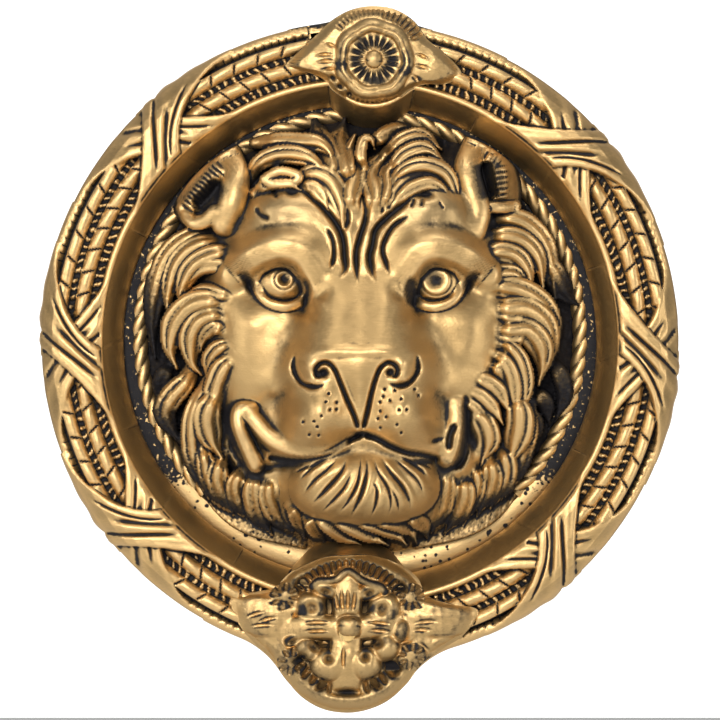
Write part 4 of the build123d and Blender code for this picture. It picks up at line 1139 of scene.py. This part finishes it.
# Dark pockets between the locks: place, half width, half height and depth.
POCKETS = (
    (-20.4, 42.6, 2.0, 1.0, 1.8), (-26.0, 43.0, 2.0, 0.9, 1.6), (-16, 61.5, 5.0, 1.6, 3.0),
    (19.4, 42.0, 2.8, 1.3, 3.0), (12, 47, 2.2, 1.2, 3.0), (25, 56, 2.4, 3.6, 5.0), (1.0, 45.6, 0.9, 3.0, 3.4),
    (2.6, 55.4, 1.0, 2.2, 2.6), (-52.6, -25, 1.3, 6.0, 2.6),
    (-40, -39, 2.0, 4.6, 3.0), (54, -22, 1.3, 6.0, 2.6),
    (38, -46, 1.5, 4.0, 2.4), (-33, 57, 2.6, 2.6, 3.0),
)


def chin(r):
    """The bearded chin, combed by furrows of two depths."""
    r.mound(1.2, -45.0, 22.8, 12.4, 22.0, 42.8, 5.0, power=2.3)
    for index, furrow in enumerate(CHIN_FURROWS):
        deep = 1.2 if index % 3 else 1.7
        r.groove(furrow, 0.45 * deep, deep, 0.45, 0.1)
        r.ridge([(x + 1.3, y - 0.3) for x, y in furrow], 1.2, 0.75, 0.4)
    r.swell(0.6, -49.5, 15, 4.0, 1.0)


def shadow_in_ear(r, points, width, amount):
    """Patina between the strands of an ear."""
    index, off, _ = r.around(points, width)
    r.dark[index] = np.maximum(r.dark[index], amount * bump(off / width))


def left_ear(r):
    """A fan of hair over a dark crease, the smooth lobe beside it and the roll below."""
    r.mound(-45.6, 44.4, 8.6, 13.4, 6, 25.0, 1.4, 38)
    r.groove([(-50.4, 38.2), (-47, 40.4), (-44.2, 43.2), (-41.8, 47)], 2.4, 5.0, 0.2, 1.15)
    for step in np.linspace(-6.4, 8.0, 11):
        along_x, along_y = 0.62 * step, 0.79 * step
        strand = [(-50.0 + along_x, 45.8 + along_y), (-45.0 + along_x, 41.9 + along_y)]
        r.ridge(strand, 0.62, 1.7, 0.2)
    shadow_in_ear(r, [(-52.4, 41), (-48, 45.6), (-43.4, 50.6)], 3.4, 0.62)
    r.bar([(-39.4, 53.6), (-37.2, 47), (-38.2, 40), (-40.6, 33.8)], 4.8, (21, 27.5, 29, 27.5), 5.5, 2.4)
    r.bar([(-43.6, 36.8), (-46.4, 34.2), (-50.2, 34), (-52.8, 38)], 2.6, (27, 26, 24, 20), 3.4, 2.0)


def right_ear(r):
    """Strands across, a wide crease on the inside and a smooth lobe down to the brow."""
    r.mound(41.2, 46.8, 6.8, 12.6, 6, 25.0, 1.4, -16)
    r.groove([(36.6, 52.4), (37.4, 48), (38.4, 44), (39.4, 40.4)], 2.5, 5.0, 0.15, 1.15)
    for y in np.linspace(41.2, 49.6, 6):
        r.ridge([(39.8, y - 0.5), (42, y), (44.8, y + 0.5)], 0.62, 1.6, 0.2)
    for x in (37.0, 38.8, 40.6):
        r.ridge([(x, 51.6), (x + 2.4, 54.4)], 0.62, 1.4, 0.2)
    shadow_in_ear(r, [(42.6, 40.6), (42, 46), (40.4, 52)], 3.0, 0.60)
    lobe = [(34.6, 57), (32.2, 50), (33.6, 43), (35.2, 37), (33.8, 31.6)]
    r.bar(lobe, 4.5, (20, 27.5, 29.5, 30, 31), 5.0, 3.0)
    r.bar([(37.8, 38.4), (42, 38.2), (46.6, 38.6)], 2.0, (27.5, 26, 22), 2.6, 1.6)


LOCK_FULLNESS = 1.38  # how much wider each lock is laid than its half width, so that neighbours overlap
FINE_LOCK = 2.1  # half width below which a lock has a single strand
KNOT = [(-28.6, 46.8), (-24, 49.2), (-18.6, 47.8), (-20, 45.8), (-26, 45.4), (-28.6, 46.8)]


def mane(r):
    """Dark pockets, the locks over them and the knot of hair above the left brow."""
    for pocket in POCKETS:
        r.recess(*pocket)
    for points, half_width, start, end in LOCKS:
        r.lock(points, LOCK_FULLNESS * half_width, start, end, 1 if half_width < FINE_LOCK else 2)
    r.bar(KNOT, 1.7, (34, 35, 35, 35, 35, 34), 2.0, 2.0)
    outer = smooth_step(34, 41, np.hypot(r.x, r.y))
    r.dark = np.maximum(r.dark, 1.1 * outer * smooth_step(19.5, 12.5, r.h))


def collar(r):
    """The plate's collar below, where the rope ends: bare brass with pits of patina."""
    for side in (-1, 1):
        edge = [(side * 48.5, -45.5), (side * 40.5, -53.4), (side * 31, -60.2), (side * 20.5, -62.6)]
        r.bar(edge, 5.6, (5, 9.5, 11.5, 8.5), 5.0, 1.5)
    bare = (r.y < -44) & (np.hypot(r.x, r.y) > 58) & (r.h < 12.0)
    r.dark = np.where(bare, 0.40 + 0.5 * np.clip(rough(r.x, r.y, 1.1, 25), 0, 1), r.dark)


def lion_relief(x, y):
    """The head's height over each drawn point, and its patina."""
    r = Relief(x, y, draped(x, y, landmarks()))
    brows_and_forehead(r)
    eye(r, -23.8, 16.0, (-22.7, 16.7), 3.0, 1.5, 0.0)
    eye(r, 23.2, 16.0, (22.8, 16.4), 4.6, 2.6, 0.6)
    r.recess(16.6, 12.2, 1.5, 4.0, 1.2, -12)
    nose(r)
    muzzle(r)
    left_lip(r)
    right_lip(r)
    pores(r)
    chin(r)
    left_ear(r)
    right_ear(r)
    mane(r)
    collar(r)
    low = smooth_step(24, 14, r.h)
    r.h += low * (0.35 * rough(x * 2.2, y * 2.2, 4.0, 21) + 0.2 * rough(x, y, 1.5, 22))
    r.h += 0.10 * rough(x, y, 5.0, 23) + 0.22 * rough(x, y, 13.0, 24)
    return r


def drawn_in(x, y, height):
    """Moves drawn points to where they really are: nearer the axis the closer they are to the eye."""
    distance = EYE_DISTANCE / MM
    factor = (distance - height) / (distance - DRAWN_AT)
    return x * factor, EYE_HEIGHT + (y - EYE_HEIGHT) * factor


def head_reach(x, y):
    """How far the head's mesh runs out: a little under the rope, but over it behind the ears."""
    turn = np.degrees(np.arctan2(x, y))
    collar = bump((np.abs(turn) - 146) / 18)
    return HEAD_REACH + 2.6 * bump((turn + 45) / 24) + 2.4 * bump((turn - 39) / 20) + 2.8 * collar


def lion_head():
    """The mask: the sculpted outside, a plain hollow inside and the rim between them."""
    x, y = disc_grid(HEAD_GRID, 1.0)
    edge = np.hypot(x, y)
    reach = head_reach(x, y)
    x, y = x * reach, y * reach
    relief = lion_relief(x, y)
    height = np.where(edge > 0.987, HEAD_EDGE, np.maximum(relief.h, HEAD_EDGE))
    outer = place(*drawn_in(x, y, height), height)
    count = (HEAD_GRID - 1) // COARSER + 1
    inner_x, inner_y = disc_grid(count, HEAD_REACH * 0.985)
    inner_h = np.maximum(draped(inner_x, inner_y, landmarks()) - HEAD_WALL, INSIDE_EDGE)
    inner_h = np.where(np.hypot(inner_x, inner_y) > 60, INSIDE_EDGE, inner_h)
    inner = place(*drawn_in(inner_x, inner_y, inner_h), inner_h)
    faces = grid_faces(HEAD_GRID, HEAD_GRID)
    faces += [face[::-1] for face in grid_faces(count, count, len(outer))]
    faces += rim_faces(HEAD_GRID, count, COARSER)
    points = np.vstack([outer, inner])
    casting("lion_head", points, faces, "plate", ("lion_mask",), relief.dark, relief.painted_shade)


def border_loop(count, start=0):
    """Indices round the edge of a square grid."""
    last = count - 1
    top = [(0, c) for c in range(last)]
    right = [(r, last) for r in range(last)]
    bottom = [(last, c) for c in range(last, 0, -1)]
    left = [(r, 0) for r in range(last, 0, -1)]
    return [start + r * count + c for r, c in top + right + bottom + left]


def rim_faces(fine, coarse, every):
    """Closes the gap between the fine outer shell's border and the coarse inner one's."""
    outside = border_loop(fine)
    inside = border_loop(coarse, fine * fine)
    faces = []
    for i in range(len(inside)):
        run = [outside[(i * every + k) % len(outside)] for k in range(every + 1)]
        faces.append(run + [inside[(i + 1) % len(inside)], inside[i]])
    return faces


# ---- medallions ----------------------------------------------------------------------------
MEDAL_FLOOR = 19.3  # height of their undersides, inside the ring's seats
UPPER_GRID = 150  # points along each side of their meshes
LOWER_GRID = 190
UPPER_MEDAL = (4.2, 82.7)
LOWER_MEDAL = (-3.5, -88.0)
UPPER_OUTLINE = (
    (-22.6, 80.6), (-18.5, 85), (-13.5, 89.6), (-9, 94), (-3, 97.4), (4, 98.6), (11, 97.4), (16.4, 94),
    (20.4, 88.6), (25.4, 84.6), (30.6, 78.4), (26, 75.4), (20, 75.2), (15.4, 73.6), (11, 70.6), (4, 69),
    (-3, 70.4), (-8, 73), (-11, 76.6), (-15.4, 78.6),
)
LOWER_OUTLINE = (
    (-3.5, -66), (2, -65.8), (7.4, -67), (13, -69.4), (17.4, -73), (20, -78), (26.4, -80.4), (35.4, -82.6),
    (31.6, -89.4), (24.4, -94.4), (18.6, -98.6), (14, -104.6), (8.4, -109.6), (2, -112.4), (-4.5, -113.2),
    (-11.4, -112), (-17.6, -108.4), (-22.4, -103), (-26.6, -97), (-31.6, -92.4), (-36.4, -86.6),
    (-38.6, -79), (-31, -77), (-25.6, -75.6), (-21.4, -71.6), (-16, -68.6), (-10, -66.4),
)


def plate_grid(centre, outline, count):
    """Points covering an outline evenly from its centre, and how near the edge each one is."""
    closed = smooth_curve(outline + outline[:2], 0.6)
    way = np.arctan2(closed[:, 1] - centre[1], closed[:, 0] - centre[0])
    reach = np.hypot(closed[:, 0] - centre[0], closed[:, 1] - centre[1])
    order = np.argsort(way)
    x, y = disc_grid(count, 1.0)
    out = np.hypot(x, y)
    edge = np.interp(np.arctan2(y, x), way[order], reach[order], period=2 * math.pi)
    return centre[0] + x * edge, centre[1] + y * edge, out


def spokes(r, centre, turns, inner, outer, width, depth):
    """Short cuts pointing at the centre."""
    for turn in turns:
        a = math.radians(turn)
        reaches = (inner, (inner + outer) / 2, outer)
        line = [(centre[0] + reach * math.sin(a), centre[1] + reach * math.cos(a)) for reach in reaches]
        r.groove(line, width, depth, 0.25)


def leaf(r, points, half_width, tops, cuts):
    """A smooth leaf with a few short dark cuts near its root: each starts and ends at given points."""
    r.bar(points, half_width, tops, 2.8, 1.2)
    for start, end in cuts:
        middle = ((start[0] + end[0]) / 2, (start[1] + end[1]) / 2 + 0.25)
        r.groove([start, middle, end], 0.5, 1.0, 0.45, 0.15)


UPPER_LEAVES = (
    # points, half width, its cuts' starts and ends
    ([(-6, 82), (-14, 82), (-21.5, 80.8)], 6.2,
     (((-14, 83.8), (-7.4, 84)), ((-13.6, 81.8), (-7, 82)), ((-11.4, 79.4), (-6.6, 79.8)),
      ((-11, 87.6), (-6.6, 86)))),
    ([(15, 82), (22, 81), (29.4, 78.8)], 6.0,
     (((16.4, 84.6), (21, 82.4)), ((15.6, 81), (21.6, 79.6)), ((15.4, 78.6), (17.8, 75.4)))),
)
ROSETTE_BOWL = 8.4  # radius
ROSETTE_BUTTON = 2.7
ROSETTE_RIM = 2.3  # half width
ROSETTE_FLOOR = 23.4  # the barrel's screws end just below it


def rosette(r, u, v):
    """A dished flower with a scalloped rim, dark gaps between its petals and a button."""
    away = np.hypot(u, v)
    turn = np.arctan2(u, v)
    lobes = 0.5 + 0.5 * np.cos(7 * turn + 0.9)
    middle = 9.7 + 0.5 * lobes
    rim = 22.4 + 3.0 * np.sqrt(np.clip(1 - ((away - middle) / ROSETTE_RIM) ** 2, 0, 1))
    rim -= 0.45 * bump((away - middle + 0.3) / 0.7) + 0.6 * (1 - lobes) ** 4
    gap = smooth_step(0.35, -0.35, np.cos(19 * turn + 0.6 * np.sin(3 * turn)))
    bowl = np.where(away < ROSETTE_BOWL, ROSETTE_FLOOR - 0.8 * gap * bump((away - 5.2) / 3.2), 0)
    dome = ROSETTE_FLOOR + 1.6 * np.sqrt(np.clip(1 - (away / ROSETTE_BUTTON) ** 2, 0, 1))
    button = np.where(away < ROSETTE_BUTTON, dome, 0)
    ring = np.where(np.abs(away - middle) < ROSETTE_RIM, rim, 0)
    form = np.maximum(np.maximum(ring, bowl), button)
    plate = r.h * (away > ROSETTE_BOWL)
    r.h = np.where(away < middle + ROSETTE_RIM, np.maximum(plate, form), r.h)
    r.dark = np.maximum(r.dark, 1.2 * gap * bump((away - 5.6) / 3.0) * smooth_step(9.0, 7.8, away))


def upper_relief(x, y, out):
    """The upper medallion: two leaves, a scalloped edge of short cuts, and the rosette."""
    cx, cy = UPPER_MEDAL
    r = Relief(x, y, np.full(x.shape, 21.2))
    r.mound(cx, cy - 0.5, 19.5, 15.5, 20.6, 23.0, 1.0, power=3.0)
    for points, half_width, cuts in UPPER_LEAVES:
        leaf(r, points, half_width, (23.4, 23.6, 21.8), cuts)
    spokes(r, UPPER_MEDAL, np.linspace(-48, 8, 11), 12.8, 15.6, 0.5, 0.7)
    spokes(r, UPPER_MEDAL, np.linspace(14, 62, 8), 12.2, 16.6, 0.75, 1.5)
    spokes(r, UPPER_MEDAL, np.linspace(150, 214, 11), 12.2, 14.4, 0.7, 1.2)
    for dx, dy in ((-12.4, -5.6), (-10.2, -8.2), (-7.4, -10.4)):
        r.recess(cx + dx, cy + dy, 1.3, 0.9, 1.8, 40)
    rosette(r, x - cx, y - cy)
    r.stain(cx + 0.6, cy - 6.4, 4.6, 1.7, 1.0)
    r.stain(cx - 3.4, cy + 5.6, 3.6, 1.4, 0.8, 30)
    r.h += 0.12 * rough(x, y, 3.0, 31)
    return r.h - 2.4 * smooth_step(0.84, 1.0, out), r.dark


PETALS = (
    # points, half width, heights along it
    ([(-6, -88), (-11, -87.6), (-17, -87.8), (-23.8, -89.4)], 4.2, (24.4, 25.0, 25.0, 22.6)),
    ([(-1, -87.6), (4, -87.2), (9, -87), (13.8, -88)], 4.4, (24.4, 25.0, 25.0, 22.8)),
    ([(-3.8, -84), (-3.8, -79), (-3.8, -74)], 4.8, (24.4, 25.2, 24.4)),
    ([(-4.2, -92), (-4.4, -97), (-4.2, -105.8)], 5.2, (24.4, 25.0, 22.8)),
)
LOBES = (
    # place, half sizes, lean and height of the flower's lobes, then the offset and half sizes of each cup
    ((-14.6, -81.6), (5.0, 4.6), 0, 25.8, (0.2, -0.2), (2.4, 2.2)),
    ((7.4, -82.4), (5.2, 4.9), -20, 25.8, (-0.8, 0.4), (2.4, 2.4)),
    ((-10.6, -76.2), (4.4, 2.6), 18, 25.6, (0.3, -0.9), (1.8, 1.1)),
    ((3.4, -76.8), (4.4, 2.7), -18, 25.6, (-0.7, -0.8), (2.0, 1.3)),
    ((-15.6, -94.2), (4.2, 3.2), 30, 25.2, (1.6, 0.6), (2.2, 1.5)),
    ((-20.2, -91.4), (3.2, 2.0), -20, 24.6, (0.0, -0.6), (1.8, 1.0)),
    ((7.6, -93.6), (4.4, 4.2), -30, 25.6, (-2.2, 0.9), (2.1, 1.5)),
    ((-9.6, -99.0), (5.4, 4.8), 20, 25.8, (0.2, 2.0), (1.7, 1.6)),
    ((1.6, -98.6), (5.0, 4.8), -20, 25.8, (0.0, 2.2), (1.6, 1.6)),
    ((12.2, -88.6), (2.8, 3.6), 20, 25.4, None, None),
)
DARK_GAPS = (
    # place, half width, half height and lean of the deep gaps between the lobes
    (-9.6, -81.4, 1.3, 3.0, -12), (1.6, -82.2, 1.1, 2.6, 25),
    (-11.8, -92.6, 2.6, 1.1, 15), (3.4, -92.2, 2.6, 1.0, -18),
    (-18.2, -97.4, 3.4, 1.6, -35), (9.8, -99.6, 3.4, 1.9, 35),
    (-17.6, -74.0, 2.4, 1.8, -40), (12.4, -75.6, 2.2, 1.7, 40),
    (-4.0, -107.2, 4.6, 1.2, 0), (-11.4, -105.2, 2.4, 1.2, -25), (4.6, -104.8, 2.2, 1.2, 25),
)
FLOWER_FLOOR = 20.5
SHELL_RIM = (
    (-14.2, -75.4), (-12.4, -73.9), (-9.4, -73.8), (-6.8, -73.2), (-5.0, -71.6), (-3.4, -70.9),
    (-1.6, -71.9), (0.2, -73.4), (3.0, -74.6), (5.9, -75.4), (7.4, -77.0),
)


LOWER_LEAVES = (
    ([(-20, -84), (-28, -84.6), (-36.6, -82.6)],
     (((-31, -86.4), (-24.4, -84.6)), ((-33.6, -87.6), (-25, -87)), ((-34.6, -85), (-28, -83)))),
    ([(14, -84.4), (24, -84.6), (33.8, -84)],
     (((15.4, -86.6), (24, -86)), ((15, -88.6), (22, -88.8)), ((17, -92), (21, -95.6)))),
)
DAISIES = ((-22.6, -78.4), (15.2, -78.6), (15.4, -96.4), (-20.4, -98))
SLITS = (
    # cuts along the petals
    [(-9, -86.4), (-13, -86.2), (-17, -86.6)],
    [(-9, -88.8), (-13, -88.8), (-17, -89)],
    [(2.4, -86.2), (6, -86.4), (9.6, -87)],
    [(2.4, -88.6), (6, -88.8), (9, -89.2)],
    [(-4.8, -93), (-5, -97), (-5, -100.6)],
    [(-5.6, -76), (-5.4, -80), (-5, -83.4)],
    [(-3.6, -76), (-3.6, -80), (-3.8, -83.4)],
    [(-1.4, -76.4), (-1.8, -80), (-2.4, -83.4)],
    [(-7.6, -77), (-7, -80.4), (-6.2, -83.4)],
)


def flower(r):
    """Four petals, cupped lobes between them and a square boss, over a dark floor."""
    cx, cy = LOWER_MEDAL
    floor_dark = r.dark.copy()
    floor_height = r.h.copy()
    for points, half_width, tops in PETALS:
        r.bar(points, half_width, tops, 3.4, 0.8)
    for at, half_sizes, lean, top, _, _ in LOBES:
        r.mound(*at, *half_sizes, 21.0, top, 0.9, lean, 2.4)
    r.bar(SHELL_RIM, 1.3, (25.2, 25.9, 26.2, 25.9, 25.2), 2.2, 0.9)
    r.dark = floor_dark * smooth_step(1.6, 0.4, r.h - floor_height)
    for (at_x, at_y), _, lean, _, offset, cup in LOBES:
        if cup:
            cup_x, cup_y = at_x + offset[0], at_y + offset[1]
            r.swell(cup_x, cup_y, *cup, -2.6, lean)
            r.stain(cup_x, cup_y, 0.8 * cup[0], 0.8 * cup[1], 0.72, lean)
    for at_x, at_y, wide, high, lean in DARK_GAPS:
        r.recess(at_x, at_y, wide, high, 3.0, lean)
    for points in SLITS:
        r.groove(points, 0.5, 1.1, 0.35, 0.2)
    r.mound(cx + 0.3, cy + 0.4, 4.0, 3.6, 23.0, 27.2, 0.5, power=2.6)
    boss_edge = [(cx - 3.8, cy + 1.6), (cx - 2, cy + 3.4), (cx + 1.8, cy + 3.6), (cx + 4, cy + 1.6)]
    r.groove(boss_edge, 0.55, 0.6, 0.2)


def lower_relief(x, y, out):
    """The lower medallion: two leaves, four daisies, a border of short cuts, and the flower."""
    r = Relief(x, y, np.full(x.shape, 20.9))
    away = np.hypot(x - LOWER_MEDAL[0], y - LOWER_MEDAL[1])
    r.h += 1.8 * bump((away - 21.4) / 4.2)
    for points, cuts in LOWER_LEAVES:
        leaf(r, points, 6.6, (23.0, 23.8, 21.8), cuts)
    for at in DAISIES:
        r.mound(*at, 4.6, 4.4, 21.4, 24.0, 0.8)
        spokes(r, at, range(10, 370, 45), 1.6, 4.4, 0.6, 1.1)
    spokes(r, LOWER_MEDAL, np.linspace(-50, 52, 18), 16.6, 21.0, 0.72, 1.9)
    spokes(r, LOWER_MEDAL, np.linspace(128, 232, 13), 14.6, 20.6, 0.85, 2.0)
    inside = smooth_step(17.4, 15.8, away)
    r.h = r.h * (1 - inside) + FLOWER_FLOOR * inside
    r.dark = np.maximum(r.dark, 0.95 * smooth_step(17.4, 15.0, away))
    flower(r)
    r.h += 0.16 * rough(x, y, 3.0, 33) + 0.16 * rough(x, y, 7.0, 34)
    return r.h - 2.4 * smooth_step(0.86, 1.0, out), r.dark


def medallion(name, centre, outline, relief, count, nodes):
    """A cast plate: its relief, a short wall down into the ring's seat and a flat back."""
    x, y, out = plate_grid(centre, outline, count)
    height, dark = relief(x, y, out)
    top = place(*drawn_in(x, y, height), height)
    rim = border_loop(count)
    low = top[rim].copy()
    low[:, 1] = -MEDAL_FLOOR * MM
    first = len(top)
    faces = grid_faces(count, count)
    for i in range(len(rim)):
        after = (i + 1) % len(rim)
        faces.append([rim[i], rim[after], first + after, first + i])
    faces.append([first + i for i in range(len(rim))])
    casting(name, np.vstack([top, low]), faces, "ring", nodes, dark)


# ---- rope round the mask -------------------------------------------------------------------
ROPE_RADIUS = 67.5
ROPE_WIRE = 2.75
ROPE_HEIGHT = 4.7
ROPE_ARC = 271.0
ROPE_SEGMENT = 5.6  # how far apart its strands follow each other
ROPE_STRANDS = 3
ROPE_STEPS = 1500
ROPE_SIDES = 30


def rope():
    """Three strands laid round each other, open at the bottom where the beard comes over."""
    along = np.radians(np.linspace(-ROPE_ARC / 2, ROPE_ARC / 2, ROPE_STEPS))[:, None]
    around = np.linspace(0, 2 * np.pi, ROPE_SIDES, endpoint=False)[None, :]
    twist = around - along * ROPE_RADIUS / ROPE_SEGMENT * 2 * np.pi / ROPE_STRANDS
    wire = ROPE_WIRE * (0.72 + 0.28 * np.abs(np.cos(ROPE_STRANDS / 2 * twist)) ** 0.7)
    wire = wire + 0.10 * rough(along * 70, around * 3, 6.0, 41)
    out = ROPE_RADIUS + wire * np.cos(around)
    height = ROPE_HEIGHT + wire * np.sin(around)
    faces = grid_faces(ROPE_STEPS, ROPE_SIDES, wrap_columns=True)
    faces.append(list(range(ROPE_SIDES)))
    faces.append([(ROPE_STEPS - 1) * ROPE_SIDES + i for i in range(ROPE_SIDES)][::-1])
    points = place(out * np.sin(along), out * np.cos(along), height)
    casting("mask_rope", points, faces, "plate", ("rope_border",))


# ---- the scene -----------------------------------------------------------------------------
camera()
lights()
world()
floor()

SLOTS = {
    "sculpted_brass": antique_brass("sculpted_brass", sculpted_wear),
    "antique_brass": antique_brass("cast_brass", plain_wear),
    "plain_brass": plain_metal("turned_brass", TURNED_BRASS, 0.30, (900, 900, 200)),
    "steel": plain_metal("plated_steel", PLATED_STEEL, 0.34, (900, 300, 900)),
    "bronze": plain_metal("bush_bronze", BUSH_BRONZE, 0.40, (300, 900, 900)),
}
for subpart in frame["record"]["subparts"]:
    dress(frame["nodes"][subpart["node"]], SLOTS[subpart["material_slot"]])
dress(frame["nodes"]["backplate"], antique_brass("pitted_brass", plate_wear))

ring_casting()
lion_head()
rope()
upper_nodes = ("upper_medallion", "upper_rosette")
lower_nodes = ("lower_medallion", "lower_flower")
medallion("upper_medal", UPPER_MEDAL, UPPER_OUTLINE, upper_relief, UPPER_GRID, upper_nodes)
medallion("lower_medal", LOWER_MEDAL, LOWER_OUTLINE, lower_relief, LOWER_GRID, lower_nodes)
